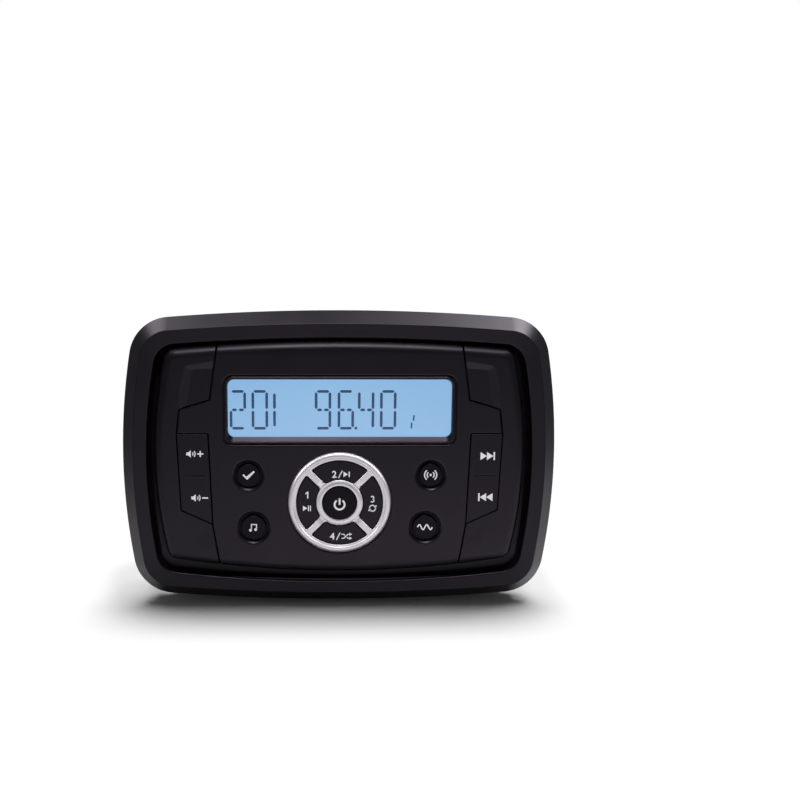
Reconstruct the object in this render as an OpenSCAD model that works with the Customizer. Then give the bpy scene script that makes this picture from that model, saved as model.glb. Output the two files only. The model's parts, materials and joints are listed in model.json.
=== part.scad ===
/* [Face outline] */
// Width of the front frame
face_w = 186; // [176:0.5:200]
// Height of the front frame at its middle
face_h = 127.2; // [118:0.2:136]
// Radius of the bowed left and right sides
side_r = 274; // [220:1:400]
// Radius of the bowed top and bottom
top_r = 915; // [700:5:1400]
// Radius of the frame's corners
corner_r = 18; // [16:0.5:24]

/* [Front frame] */
// How far in from the rim the frame's ridge runs
ridge_in = 5; // [4:0.1:6]
// How far the ridge stands forward of the dash
ridge_d = 7; // [5:0.1:8]
// How far in from the rim the frame's inner edge lies
lip_in = 10.75; // [10.5:0.05:11]
// Radius of the inner edge's bowed left and right sides
lip_side_r = 238; // [220:1:400]
// Radius of the inner edge's bowed top
lip_top_r = 905; // [700:5:1400]
// Radius of the inner edge's bowed bottom
lip_low_r = 588; // [560:1:1400]
// Radius of the inner edge's corners
lip_corner_r = 9.2; // [8:0.1:10]
// How far the frame's inner edge stands forward of the dash
band_d = 3.2; // [2.8:0.1:4]
// Wall of the front frame
bezel_wall = 2; // [1.6:0.1:2.4]
// Rounding of the front frame's ridge
ridge_r = 0.9; // [0.4:0.1:1.2]
// Radius of the pegs that hold the front frame
peg_r = 1.2; // [0.8:0.1:1.4]

/* [Face] */
// How far in from the rim the face rises at its left and right
face_in = 15; // [14.6:0.1:16]
// How far in from the rim the face rises at its top
face_top_in = 13.4; // [13.2:0.1:14.4]
// How far in from the rim the face rises at its bottom
face_low_in = 15.4; // [15:0.1:16]
// Height where the face is widest
face_mid_z = 2; // [0:0.1:3]
// Radius of the face's bowed left and right sides
face_side_r = 188; // [180:1:270]
// Radius of the face's bowed top
face_top_r = 790; // [700:5:1400]
// Radius of the face's bowed bottom
face_low_r = 445; // [430:1:1400]
// How far the face stands forward of the dash
face_d = 9; // [8.5:0.1:11]
// Rounding of the face's outer edge
face_edge_r = 2.8; // [1:0.1:3]
// Radius of the face's corners seen from the front
face_corner_r = 4.5; // [4:0.1:6]
// Wall of the front panel
face_wall = 2; // [1.6:0.1:2.4]
// Depth of the dark channel behind the dash plane
moat_depth = 3; // [2:0.2:4]
// Thickness of the panel's base plate
plate_t = 2; // [1.6:0.1:2.4]
// Gap between the front panel and the side trims
seam_gap = 0.3; // [0.2:0.05:0.5]
// Thickness of a side trim's front
trim_t = 2.6; // [2:0.1:3]
// Depth of the shallow pockets in the side trims
pocket_t = 0.7; // [0.4:0.1:1]

/* [Seam between panel and trims] */
// Sideways place of the seam near the top of the face
seam_top_x = 51.9; // [49:0.2:53]
// Height at which the seam's top place is taken
seam_top_z = 48.3; // [46:0.1:50]
// Sideways place where the upper seam turns outwards
seam_mid_x = 55; // [54:0.1:57]
// Height where the upper seam turns outwards
seam_mid_z = 26.4; // [24:0.1:28]
// Sideways place of the panel arm's upper corner
arm_x = 68; // [67:0.1:69]
// Height of the panel arm's upper corner
arm_z = 22.4; // [19:0.1:23]
// Sideways place of the seam near the bottom of the face
seam_low_x = 51.4; // [50:0.2:53]
// Height at which the seam's bottom place is taken
seam_low_z = -45.6; // [-47:0.1:-44]

/* [Rocker keys] */
// Height of the rocker's top edge
rocker_top_z = 12; // [10:0.1:14]
// Sideways place of the rocker's outer top corner
rocker_out_x = 69.2; // [68.4:0.1:70]
// Sideways place of the rocker's outer bottom corner
rocker_low_x = 67.7; // [67:0.1:69]
// Height of the rocker's outer bottom corner
rocker_low_z = -21.2; // [-23:0.1:-20]
// Sideways place of the rocker's inner top corner
rocker_in_x = 55.9; // [55:0.1:57]
// Sideways place of the rocker's inner bottom corner
rocker_tip_x = 54.4; // [53.6:0.1:55.4]
// Height of the rocker's inner bottom corner
rocker_tip_z = -27.4; // [-29:0.1:-26]
// Gap round a rocker
rocker_gap = 0.35; // [0.3:0.05:0.5]
// Thickness of a rocker's cap
rocker_t = 3.4; // [3:0.1:4]
// Height of the line that the rocker tips about
pivot_z = -6.3; // [-8:0.1:-5]
// How far the pivot stands forward of the dash
pivot_d = 4.6; // [4.4:0.1:4.8]
// Radius of the rocker's pivot pins
pivot_r = 0.9; // [0.7:0.05:1]
// Radial clearance of the pivot pins
pivot_fit = 0.05; // [0.03:0.01:0.09]
// Length of a pivot pin outside the rocker
pivot_len = 1.4; // [1:0.1:1.6]
// Distance from the pivot to each foot of a rocker
foot_reach = 12; // [10:0.5:13]

/* [Round keys] */
// Sideways place of the upper round keys
upper_key_x = 38.9; // [37:0.1:41]
// Height of the upper round keys
upper_key_z = -5.9; // [-8:0.1:-4]
// Radius of the upper round keys
upper_key_r = 4.85; // [4.5:0.05:5.2]
// Radius of the holes round the upper keys
upper_hole_r = 6.05; // [5.8:0.05:6.4]
// Sideways place of the lower round keys
lower_key_x = 36.8; // [35:0.1:39]
// Height of the lower round keys
lower_key_z = -28.9; // [-31:0.1:-27]
// Radius of the lower round keys
lower_key_r = 5.2; // [4.8:0.05:5.6]
// Radius of the holes round the lower keys
lower_hole_r = 6.5; // [6.2:0.05:6.8]
// How far a round key lies below the face
key_sink = 0.3; // [0:0.1:0.6]
// Width of the chamfer round the key holes
hole_chamfer = 0.8; // [0.4:0.1:1]

/* [Key travel] */
// Thickness of the lip behind each key
lip_t = 1.3; // [1:0.1:1.4]
// How far a lip reaches past its hole
lip_reach = 0.8; // [0.6:0.1:1]
// Clearance between a lip and what it rests behind
lip_gap = 0.3; // [0.2:0.05:0.3]
// Radius of the stem behind each key
stem_r = 2.2; // [1.8:0.1:2.4]
// Gap between a key's stem and the mat that it presses
press_gap = 0.9; // [0.85:0.05:0.95]

/* [Control ring] */
// Height of the ring's centre
ring_z = -17.9; // [-19:0.1:-17]
// Outer radius of the silver ring
ring_r = 22; // [21.4:0.1:22.4]
// Inner radius of the ring's outer band
ring_in_r = 18.6; // [18.2:0.1:19]
// Outer radius of the ring's hub
hub_r = 10; // [9.6:0.1:10.4]
// Radius of the hole in the hub
hub_in_r = 7.5; // [7:0.1:7.9]
// Width of the four spokes
spoke_w = 2.8; // [2.4:0.1:3.2]
// How far the outer band stands proud of the face
ring_rise = 1.3; // [0.8:0.1:1.6]
// How far the hub and spokes stand proud of the face
hub_rise = 1; // [0.6:0.1:1.2]
// How far the preset keys stand proud of the face
preset_rise = 0.5; // [0.2:0.1:0.7]
// Gap round the preset keys and the power key
ring_key_gap = 0.3; // [0.2:0.05:0.4]
// Rounding of the preset keys' corners
preset_corner = 1.1; // [0.6:0.1:1.4]

/* [Display] */
// Height of the display's centre
window_z = 22.7; // [22:0.05:25]
// Width of the lit window
window_w = 94.8; // [90:0.1:96]
// Height of the lit window
window_h = 24.7; // [22:0.1:25.6]
// Corner radius of the window
window_r = 2.8; // [1:0.1:3]
// Width of the chamfer at the window's top and sides
window_chamfer = 1.3; // [0.6:0.1:1.6]
// Width of the chamfer below the window
window_sill = 2.4; // [1.6:0.1:2.6]
// Thickness of the clear window
lens_t = 1.5; // [1.2:0.1:2]
// Thickness of the display's glass
lcd_t = 2.4; // [1.8:0.1:2.5]
// Wall of the display's holder
holder_wall = 1.5; // [1.2:0.1:1.8]

/* [Front boards] */
// Width of the front circuit board
front_board_w = 138; // [134:0.5:140]
// Height of the front circuit board
front_board_h = 84; // [82:0.5:85]
// Radius of the front board's corners
front_board_r = 12; // [11:0.5:14]
// How far the front board's face stands forward of the dash
front_board_d = 1; // [0.9:0.1:1.2]
// Thickness of the circuit boards
board_t = 1.6; // [1:0.1:2]
// Thickness of the rubber key mat
mat_t = 0.6; // [0.5:0.1:0.8]
// Height of the mat's domes above the board
dome_h = 1.2; // [1:0.1:1.3]
// Radius of the mat's domes
dome_r = 3.4; // [3.3:0.1:3.6]
// Width of a switch under the mat
switch_w = 4; // [3:0.1:4]

/* [Housing] */
// How far in from the rim the housing's inner wall lies
band_in = 10.4; // [9.6:0.1:10.8]
// Thickness of the housing's front flange
flange_t = 2; // [1.8:0.1:2.2]
// How far in from the rim the flange begins
flange_in = 4.4; // [4.2:0.1:4.6]
// Thickness of the wall behind the front frame's inner edge
tub_wall = 2.2; // [1.8:0.1:2.4]
// Depth of the housing's wide front part
tub_depth = 11; // [10:0.5:14]
// Step from the wide front part in to the rear body at each side
body_side_step = 7.6; // [7:0.1:10]
// Step from the wide front part in to the rear body at top and bottom
body_top_step = 7.2; // [6.8:0.1:9]
// Depth of the housing behind the dash
body_depth = 44; // [42:1:60]
// Wall of the rear body
body_wall = 2.4; // [2:0.1:3]
// Corner radius of the rear body
body_corner = 4; // [3:0.5:6]
// How far the foam gasket stands proud before it is squeezed
gasket_proud = 0.5; // [0.3:0.1:0.8]
// Depth of the gasket's groove
gasket_groove = 1.2; // [0.8:0.1:1.3]

/* [Rear parts] */
// Width of the heat sink
sink_w = 92; // [80:1:96]
// Height of the heat sink
sink_h = 52; // [44:1:54]
// Height of the heat sink's centre
sink_z = 12; // [10:0.5:14]
// Thickness of the heat sink's base
sink_t = 3; // [2:0.2:4]
// Length of the heat sink's fins
fin_len = 11; // [8:0.5:12]
// Thickness of a fin
fin_t = 1.6; // [1.2:0.1:2.4]
// Number of fins
fin_count = 13; // [7:1:15]
// Height of the row of sockets
socket_z = -30; // [-32:0.5:-28]
// Sideways place of the antenna socket
antenna_x = -54; // [-58:0.5:-50]
// Radius of the antenna socket's bore
antenna_bore_r = 4.6; // [4.3:0.1:4.8]
// Length of the antenna socket's bore
antenna_bore_len = 12; // [10:0.5:14]
// Wall of the antenna socket
antenna_wall = 1.6; // [1.2:0.1:2]
// Sideways place of the power and speaker socket
harness_x = 44; // [42:0.5:46]
// Width inside the power and speaker socket
harness_w = 24; // [18:0.5:26]
// Height inside the power and speaker socket
harness_h = 10; // [8:0.5:12]
// Depth inside the power and speaker socket
harness_depth = 12; // [8:0.5:14]
// Radius of an audio jack
jack_r = 4.15; // [4:0.05:4.3]
// Length of an audio jack
jack_len = 9; // [7:0.5:10]
// Distance between neighbouring audio jacks
jack_pitch = 14; // [13:0.5:16]

/* [Mounting clamp] */
// Distance from the middle to each mounting stud
stud_x = 60; // [56:0.5:64]
// Radius of the mounting studs
stud_r = 2.5; // [2:0.1:3]
// How far the studs end behind the dash
stud_end = 86; // [84:1:100]
// Width of the clamp's steel strap
strap_w = 20; // [16:1:24]
// Thickness of the strap
strap_t = 1.8; // [1.5:0.1:2]
// How far the strap's back lies behind the dash
strap_y = 66; // [66:1:74]
// Outer bend radius of the strap
strap_bend = 4; // [3:0.5:5]
// Gap between the strap's legs and the housing
leg_gap = 1.1; // [0.8:0.1:2]
// Length of each clamp foot past its leg
foot_len = 4.9; // [4:0.1:6]
// How far the clamp's pads lie behind the dash
pad_y = 6; // [5:0.5:8]
// Thickness of the rubber pads
pad_t = 1.5; // [1:0.1:2]
// Clearance of the strap on the studs
strap_fit = 0.4; // [0.2:0.1:0.6]
// Radial clearance of the wing nuts' thread
nut_fit = 0.05; // [0.03:0.01:0.09]
// Radius of a wing nut's hub
nut_r = 5; // [4.4:0.1:6]
// Length of a wing nut's hub
nut_len = 7; // [5:0.5:8]
// Reach of a wing nut's wings from its centre
wing_reach = 13; // [10:0.5:15]

/* [Hidden] */
$fn = 96;
arc_fn = 720;
side_steps = 6;
top_steps = 14;
corner_steps = 14;
far = 200;
eps = 0.02;
touch = 0.1;

plastic = [0.16, 0.15, 0.17];
key_plastic = [0.13, 0.12, 0.14];
soft_black = [0.1, 0.1, 0.1];
silver = [0.82, 0.81, 0.84];
steel = [0.72, 0.73, 0.75];
board_green = [0.1, 0.35, 0.2];
lcd_blue = [0.58, 0.74, 0.9];

// Half an outline is width, height, side radius, top radius and corner radius
// An outline is the height of its middle, its upper half and its lower half
rim_half = [face_w, face_h, side_r, top_r, corner_r];
rim = [0, rim_half, rim_half];
lip_w = face_w - 2 * lip_in;
lip_h = face_h - 2 * lip_in;
lip = [0, [lip_w, lip_h, lip_side_r, lip_top_r, lip_corner_r],
    [lip_w, lip_h, lip_side_r, lip_low_r, lip_corner_r]];
face_span = face_w - 2 * face_in;
face = [face_mid_z,
    [face_span, face_h - 2 * (face_top_in + face_mid_z), face_side_r, face_top_r, face_corner_r],
    [face_span, face_h - 2 * (face_low_in - face_mid_z), face_side_r, face_low_r, face_corner_r]];
function half_inset(h, t) = [h[0] - 2 * t, h[1] - 2 * t, h[2] - t, h[3] - t, h[4] - t];
function inset(o, t) = [o[0], half_inset(o[1], t), half_inset(o[2], t)];

function side_cx(h) = h[0] / 2 - h[2];
function top_cz(h) = h[1] / 2 - h[3];
// The corner circle touches both bowed arcs from inside
function corner_c(h) = let (a = side_cx(h), b = top_cz(h), d = norm([a, b]),
    p = h[2] - h[4], q = h[3] - h[4], m = (p * p - q * q + d * d) / (2 * d),
    k = sqrt(p * p - m * m)) [a - a * m / d - b * k / d, b * m / d - a * k / d];
function side_angle(h) = let (c = corner_c(h)) atan2(c[1], c[0] - side_cx(h));
function top_angle(h) = let (c = corner_c(h)) atan2(c[1] - top_cz(h), c[0]);
// Sideways place of an outline's side at height z, and height of its top at sideways place x
function side_x(o, z) = side_cx(o[1]) + sqrt(o[1][2] * o[1][2] - (z - o[0]) * (z - o[0]));
function top_z(o, x) = o[0] + top_cz(o[1]) + sqrt(o[1][3] * o[1][3] - x * x);

// Each corner of a polygon moves out by t square to both of its edges
function edge_normal(p, q) = [q[1] - p[1], p[0] - q[0]] / norm(q - p);
function grow(p, t) = [for (i = [0 : len(p) - 1]) let (n = len(p), a = p[(i + n - 1) % n],
    b = p[i], c = p[(i + 1) % n], u = edge_normal(a, b), v = edge_normal(b, c))
    b + t * (u + v) / (1 + u * v)];

face_back_d = face_d - face_wall;
trim_back_d = face_d - trim_t;
plate_back_d = -moat_depth - plate_t;
plate_in = band_in + 0.3;
tub_in = band_in - tub_wall;
dome_d = front_board_d + dome_h;
foot_d = dome_d + press_gap;
lip_d = face_back_d - lip_gap;
ring_back_d = face_back_d - 0.2;
ring_lip_d = ring_back_d - lip_gap;
well_wall = 1.6;
well_low_d = foot_d - 0.4;
well_top_d = trim_back_d - 0.2;
lens_d = face_back_d;
lens_low_d = lens_d - lens_t;
lcd_d = lens_low_d - 0.3;
lcd_low_d = lcd_d - lcd_t;
holder_lip = 3.3;
holder_w = window_w + 2 * window_chamfer + 2 * holder_lip;
holder_h = window_h + window_chamfer + window_sill + 2 * holder_lip;
holder_in_w = holder_w - 2 * holder_wall;
holder_in_h = holder_h - 2 * holder_wall;
display_fit = 0.2;
body_w = face_w - 2 * band_in - 2 * body_side_step;
body_h = face_h - 2 * band_in - 2 * body_top_step;
sill_drop = (window_sill - window_chamfer) / 2;
holder_z = window_z - sill_drop;
plate_hole = [132, 78];
front_boss_r = 2.9;
standoff_r = 3;
tap_fit = 0.05;
main_board_y = 30;
main_board_w = 130;
main_board_h = 76;
boss_r = 2.4;
boss_points = [[49.7, 1], [47, -39]];
screw_r = 1.3;
cross_slot = [2.6, 1.4, 0.6];
head_t = 1.8;
side_screw = [(body_w / 2 + side_x(inset(rim, band_in), 18)) / 2, 18];
top_screw = [45, (body_h / 2 + top_z(inset(rim, band_in), 45)) / 2];
post_in = 4;
post_points = [for (s = [1, -1]) [main_board_w / 2 - post_in, s * (main_board_h / 2 - post_in)]];
capacitor_r = main_board_w * 0.046;
capacitor_len = main_board_y * 0.53;
capacitor_points = [[-0.29, -0.29], [-0.17, -0.31], [-0.31, -0.05]];
tuner_place = [main_board_w * 0.29, -main_board_h * 0.24];
tuner_size = [main_board_w * 0.26, main_board_h * 0.32, main_board_y * 0.27];
radio_place = [-main_board_w * 0.05, main_board_h * 0.31];
radio_size = [main_board_w * 0.2, main_board_h * 0.21, main_board_y * 0.03];
radio_lift = main_board_y * 0.1;
link_place = [main_board_w * 0.15, main_board_h * 0.05];
link_size = [main_board_w * 0.185, main_board_h * 0.066, main_board_y * 0.1];
pin_pitch = 2.54;
pin_w = 0.8;
sink_screw = [sink_w / 2 - 4, sink_h / 2 - 4];
pad_w = 56;
pad_h = 26;
chip_w = 46;
chip_h = 20;
chip_t = 4.4;
chip_z = sink_z;
leg_x = side_x(inset(rim, tub_in), 0) + leg_gap;
foot_y = pad_y + pad_t;
washer_t = 1;
nut_y = strap_y + strap_t + washer_t + touch;
harness_wall = 1.5;
pin_len = 4.6;

seam_top = [seam_top_x, seam_top_z];
seam_mid = [seam_mid_x, seam_mid_z];
arm = [arm_x, arm_z];
seam_low = [seam_low_x, seam_low_z];
rocker_out = [rocker_out_x, rocker_top_z];
rocker_in = [rocker_in_x, rocker_top_z];
rocker_low = [rocker_low_x, rocker_low_z];
rocker_tip = [rocker_tip_x, rocker_tip_z];
// The seams run on past the face's top and bottom
seam_up = seam_mid + (seam_top - seam_mid) * 1.6;
seam_down = rocker_tip + (seam_low - rocker_tip) * 1.8;
rocker_poly = [rocker_in, rocker_tip, rocker_low, rocker_out];
trim_poly = [seam_up, seam_mid, arm, rocker_out, rocker_low, rocker_tip, seam_down,
    [far, seam_down[1]], [far, seam_up[1]]];
panel_poly = [[0, seam_up[1]], [0, seam_down[1]], seam_down, rocker_tip, rocker_in,
    rocker_out, arm, seam_mid, seam_up];
upper_pocket = [[seam_top_x - 0.4, 41.5], [seam_mid_x - 1, seam_mid_z],
    [arm_x, arm_z], [66.6, arm_z + 0.8], [65.4, 32], [64, 39.2], [62.6, 40.4]];
lower_pocket = [rocker_tip, [seam_low_x, -36.8], [61.8, -35.9], [64, -34.4],
    [65.8, rocker_low_z - 0.2]];

module forward(d0, d1) translate([0, -d0, 0]) rotate([90, 0, 0]) linear_extrude(d1 - d0)
    children();
module behind(y0, y1) forward(-y1, -y0) children();
module post(x, z, r, y0, y1) translate([x, y0, z]) rotate([-90, 0, 0])
    cylinder(r = r, h = y1 - y0);
module both_sides() {
    children();
    mirror([1, 0, 0]) children();
}
module four_ways() {
    both_sides() children();
    mirror([0, 0, 1]) both_sides() children();
}
module rounded(w, h, r) {
    square([w - 2 * r, h], center = true);
    square([w, h - 2 * r], center = true);
    for (x = [-1, 1], z = [-1, 1]) translate([x * (w / 2 - r), z * (h / 2 - r)]) circle(r);
}
module ring2d(r, inner) difference() {
    circle(r);
    circle(inner);
}

// A wide triangle whose upper sides cut the corners of half an outline
module corner_cut(h) {
    s = side_angle(h);
    t = top_angle(h);
    p = [side_cx(h) + h[2] * cos(s), h[2] * sin(s)];
    q = [h[3] * cos(t), top_cz(h) + h[3] * sin(t)];
    fall = (q[1] - p[1]) / (p[0] - q[0]);
    peak = q[1] + q[0] * fall;
    polygon([[0, peak], [-(peak + far) / fall, -far], [(peak + far) / fall, -far]]);
}

// The outline as four bowed arcs joined by corner circles
module outline(o) translate([0, o[0]]) {
    intersection() {
        intersection_for (i = [-1, 1]) translate([i * side_cx(o[1]), 0])
            circle(o[1][2], $fn = arc_fn);
        translate([0, top_cz(o[1])]) circle(o[1][3], $fn = arc_fn);
        translate([0, -top_cz(o[2])]) circle(o[2][3], $fn = arc_fn);
        corner_cut(o[1]);
        mirror([0, 1]) corner_cut(o[2]);
    }
    for (i = [-1, 1], j = [-1, 1]) {
        h = j > 0 ? o[1] : o[2];
        translate([i * corner_c(h)[0], j * corner_c(h)[1]]) circle(h[4]);
    }
}

// Stations round an outline, each a circle's centre and radius and an angle on it
function run(cx, cz, r, from, turn, n) = [for (i = [0 : n - 1]) [cx, cz, r, from + turn * i / n]];
// The stations of half an outline, anticlockwise from angle 0 or 180
function half_run(h, z, side, from) = let (c = corner_c(h), s = side_angle(h), t = top_angle(h))
    concat(run(side * side_cx(h), z, h[2], from, s, side_steps),
    run(side * c[0], z + side * c[1], h[4], from + s, t - s, corner_steps),
    run(0, z + side * top_cz(h), h[3], from + t, 180 - 2 * t, top_steps),
    run(-side * c[0], z + side * c[1], h[4], from + 180 - t, t - s, corner_steps),
    run(-side * side_cx(h), z, h[2], from + 180 - s, s, side_steps));
function stations(o) = concat(half_run(o[1], o[0], 1, 0), half_run(o[2], o[0], -1, 180));

// A profile point is an outline, an inset from it and a depth
function carried(profile) = let (tracks = [for (p = profile) stations(p[0])])
    [for (i = [0 : len(tracks[0]) - 1], j = [0 : len(profile) - 1])
        let (k = tracks[j][i], p = profile[j], r = k[2] - p[1])
        [k[0] + r * cos(k[3]), -p[2], k[1] + r * sin(k[3])]];
// Between points of one outline a facet is flat, otherwise it is two triangles
function facet(a, b, c, d, flat) = flat ? [[a, b, c, d]] : [[a, b, c], [a, c, d]];

// A profile is carried round as flat facets
module faceted_ring(profile) {
    n = len(stations(profile[0][0]));
    m = len(profile);
    polyhedron(points = carried(profile), faces = [for (i = [0 : n - 1], j = [0 : m - 1])
        let (a = (i + 1) % n, b = (j + 1) % m) each facet(i * m + j, i * m + b, a * m + b,
            a * m + j, profile[j][0] == profile[b][0])]);
}

// The same with a profile that is open towards the middle, closed by a flat back and front
module faceted_block(profile) {
    n = len(stations(profile[0][0]));
    m = len(profile);
    polyhedron(points = carried(profile), faces = concat(
        [for (i = [0 : n - 1], j = [0 : m - 2]) let (a = (i + 1) % n)
            [i * m + j, i * m + j + 1, a * m + j + 1, a * m + j]],
        [[for (i = [0 : n - 1]) i * m], [for (i = [n - 1 : -1 : 0]) i * m + m - 1]]));
}

// Points on a small arc that rounds a profile's corner
function round_off(c, r, from, to, n) = [for (i = [0 : n]) let (a = from + (to - from) * i / n)
    c + r * [cos(a), sin(a)]];

// The whole face with its rounded outer edge
module face_block(low_d) faceted_block([for (p = concat([[0, low_d]],
    round_off([face_edge_r, face_d - face_edge_r], face_edge_r, 180, 90, 6))) [face, p[0], p[1]]]);

module rear_housing() color(plastic) {
    housing_shell();
    both_sides() for (p = post_points) difference() {
        post(p[0], p[1], standoff_r, main_board_y + board_t, body_depth - body_wall + eps);
        post(p[0], p[1], screw_r + tap_fit, main_board_y, main_board_y + 8);
    }
}

module housing_shell() difference() {
    union() {
        forward(0, flange_t) outline(inset(rim, flange_in));
        behind(0, tub_depth) outline(inset(rim, tub_in));
        behind(0, body_depth) rounded(body_w, body_h, body_corner);
    }
    behind(-flange_t - eps, tub_depth - tub_wall) outline(inset(rim, band_in));
    behind(-flange_t - eps, body_depth - body_wall)
        rounded(body_w - 2 * body_wall, body_h - 2 * body_wall, body_corner - body_wall / 2);
    difference() {
        forward(-eps, gasket_groove) outline(inset(rim, flange_in + 0.4));
        forward(-1, gasket_groove + 1) outline(inset(rim, tub_in));
    }
    peg_points() post(0, 0, peg_r + 0.05, -flange_t - 1, 1);
    four_ways() post(side_screw[0], side_screw[1], screw_r + 0.3, 0, tub_depth + 1);
    four_ways() post(top_screw[0], top_screw[1], screw_r + 0.3, 0, tub_depth + 1);
    both_sides() post(stud_x, 0, stud_r + 0.05, 0, body_depth + 1);
    translate([0, 0, sink_z]) behind(body_depth - 10, body_depth + 1)
        rounded(pad_w + 1, pad_h + 1, 2);
    translate([0, 0, sink_z]) four_ways()
        post(sink_screw[0], sink_screw[1], screw_r + tap_fit, body_depth - 10, body_depth + 1);
    post(antenna_x, socket_z, antenna_bore_r + 0.2, body_depth - 10, body_depth + 1);
    translate([harness_x, 0, socket_z]) behind(body_depth - 10, body_depth + 1)
        rounded(harness_w + 2 * harness_wall + 0.4, harness_h + 2 * harness_wall + 0.4, 1.7);
    jack_points() post(0, 0, jack_r + 0.1, body_depth - 10, body_depth + 1);
}

module peg_points() for (x = [-1, 1]) {
    for (z = [-peg_z, 0, peg_z]) translate([x * side_x(inset(rim, peg_in), z), 0, z]) children();
    for (z = [-1, 1]) translate([x * peg_x, 0, z * top_z(inset(rim, peg_in), peg_x)]) children();
}
peg_in = (flange_in + tub_in) / 2 + 0.2;
peg_z = face_h * 0.236;
peg_x = face_w * 0.215;

module jack_points() for (i = [-1.5 : 1.5])
    translate([jack_x + i * jack_pitch, 0, socket_z]) children();
jack_x = (antenna_x + harness_x) / 2 - 1.5;

module bezel() color(plastic) {
    lean = atan2(ridge_in, ridge_d);
    slope = atan2(ridge_d - band_d, lip_in - ridge_in);
    skirt = bezel_wall / cos(lean);
    drop = bezel_wall / cos(slope);
    // The inner faces of the skirt and of the band meet below the ridge
    meet = (skirt + tan(lean) * (ridge_d + tan(slope) * ridge_in - drop))
        / (1 + tan(lean) * tan(slope));
    meet_d = ridge_d - drop - tan(slope) * (meet - ridge_in);
    seat_in = tub_in + 0.2;
    edge_r = 0.3;
    // The ridge's rounding touches the skirt and the band
    skirt_n = [-cos(lean), sin(lean)];
    band_n = [sin(slope), cos(slope)];
    ridge_c = [ridge_in, ridge_d] - ridge_r * (skirt_n + band_n) / (1 + skirt_n * band_n);
    outer = [for (p = concat([[0, 0]], round_off(ridge_c, ridge_r, 180 - lean, 90 - slope, 3)))
        [rim, p[0], p[1]]];
    edge = [[lip, -edge_r, band_d + edge_r * tan(slope)], [lip, 0, band_d - edge_r],
        [lip, 0, flange_t]];
    inner = [[rim, seat_in, flange_t], [rim, seat_in, flange_t + 0.4], [rim, meet, meet_d],
        [rim, skirt, 0]];
    faceted_ring(concat(outer, edge, inner));
    peg_points() post(0, 0, peg_r, -flange_t - 2.2, -gasket_groove);
}

module face_panel() color(plastic) difference() {
    union() {
        difference() {
            intersection() {
                face_block(-moat_depth - plate_t);
                forward(plate_back_d - 1, face_d + 1) both_sides() difference() {
                    polygon(concat([[-eps, panel_poly[0][1]], [-eps, panel_poly[1][1]]],
                        [for (i = [2 : len(panel_poly) - 1])
                            grow(panel_poly, -seam_gap / 2)[i]]));
                    polygon(grow(rocker_poly, rocker_gap / 2));
                }
            }
            forward(plate_back_d - 1, face_back_d) outline(inset(face, face_wall));
        }
        difference() {
            forward(plate_back_d, -moat_depth) outline(inset(rim, plate_in));
            forward(plate_back_d - 1, 0) rounded(plate_hole[0], plate_hole[1], 4);
        }
        both_sides() well();
        both_sides() for (p = boss_points) post(p[0], p[1], boss_r, -face_back_d - eps, -front_board_d);
        four_ways() post(side_screw[0], side_screw[1], front_boss_r, moat_depth + 1, tub_depth - tub_wall);
        four_ways() post(top_screw[0], top_screw[1], front_boss_r, moat_depth + 1, tub_depth - tub_wall);
    }
    window_cut();
    round_key_places() {
        post(0, 0, $hole_r, -face_d - 1, -face_back_d + 1);
        translate([0, -face_d + hole_chamfer, 0]) rotate([90, 0, 0])
            cylinder(r1 = $hole_r, r2 = $hole_r + hole_chamfer * 1.1, h = hole_chamfer * 1.1);
    }
    post(0, ring_z, ring_in_r + 1.4, -face_d - 1, -face_back_d + 1);
    both_sides() pivot_bore();
    both_sides() for (p = boss_points) post(p[0], p[1], screw_r - 0.25, -face_back_d + 1, 0);
    four_ways() post(side_screw[0], side_screw[1], screw_r + tap_fit, moat_depth + 0.8, tub_depth);
    four_ways() post(top_screw[0], top_screw[1], screw_r + tap_fit, moat_depth + 0.8, tub_depth);
    both_sides() trim_peg_points() post(0, 0, peg_r - 0.15, 0, moat_depth + plate_t + 1);
}

// The wall round a rocker hangs from the front panel and holds its pivot pins
module well() {
    outer = grow(rocker_poly, rocker_gap + well_wall);
    inner = grow(rocker_poly, rocker_gap / 2);
    forward(well_low_d, well_top_d) difference() {
        polygon(outer);
        polygon(inner);
    }
    forward(well_low_d, face_back_d + 0.2) intersection() {
        difference() {
            polygon(outer);
            polygon(inner);
        }
        polygon(grow(panel_poly, -seam_gap / 2));
    }
}

module pivot_bore() translate([0, -pivot_d, pivot_z]) rotate([0, 90, 0])
    translate([0, 0, pivot_in_x - pivot_len - 0.1])
    cylinder(r = pivot_r + pivot_fit, h = pivot_out_x - pivot_in_x + 2 * pivot_len + 0.2);

// Where the rocker's sides stand at the height of its pivot
side_t = (pivot_z - rocker_low_z) / (rocker_top_z - rocker_low_z);
tip_t = (pivot_z - rocker_tip_z) / (rocker_top_z - rocker_tip_z);
pivot_out_x = rocker_low_x + side_t * (rocker_out_x - rocker_low_x) - rocker_gap / 2;
pivot_in_x = rocker_tip_x + tip_t * (rocker_in_x - rocker_tip_x) + rocker_gap / 2;
rocker_foot_x = (pivot_in_x + pivot_out_x) / 2;

module round_key_places() {
    both_sides() translate([upper_key_x, 0, upper_key_z]) {
        $hole_r = upper_hole_r;
        children();
    }
    both_sides() translate([lower_key_x, 0, lower_key_z]) {
        $hole_r = lower_hole_r;
        children();
    }
}

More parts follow.
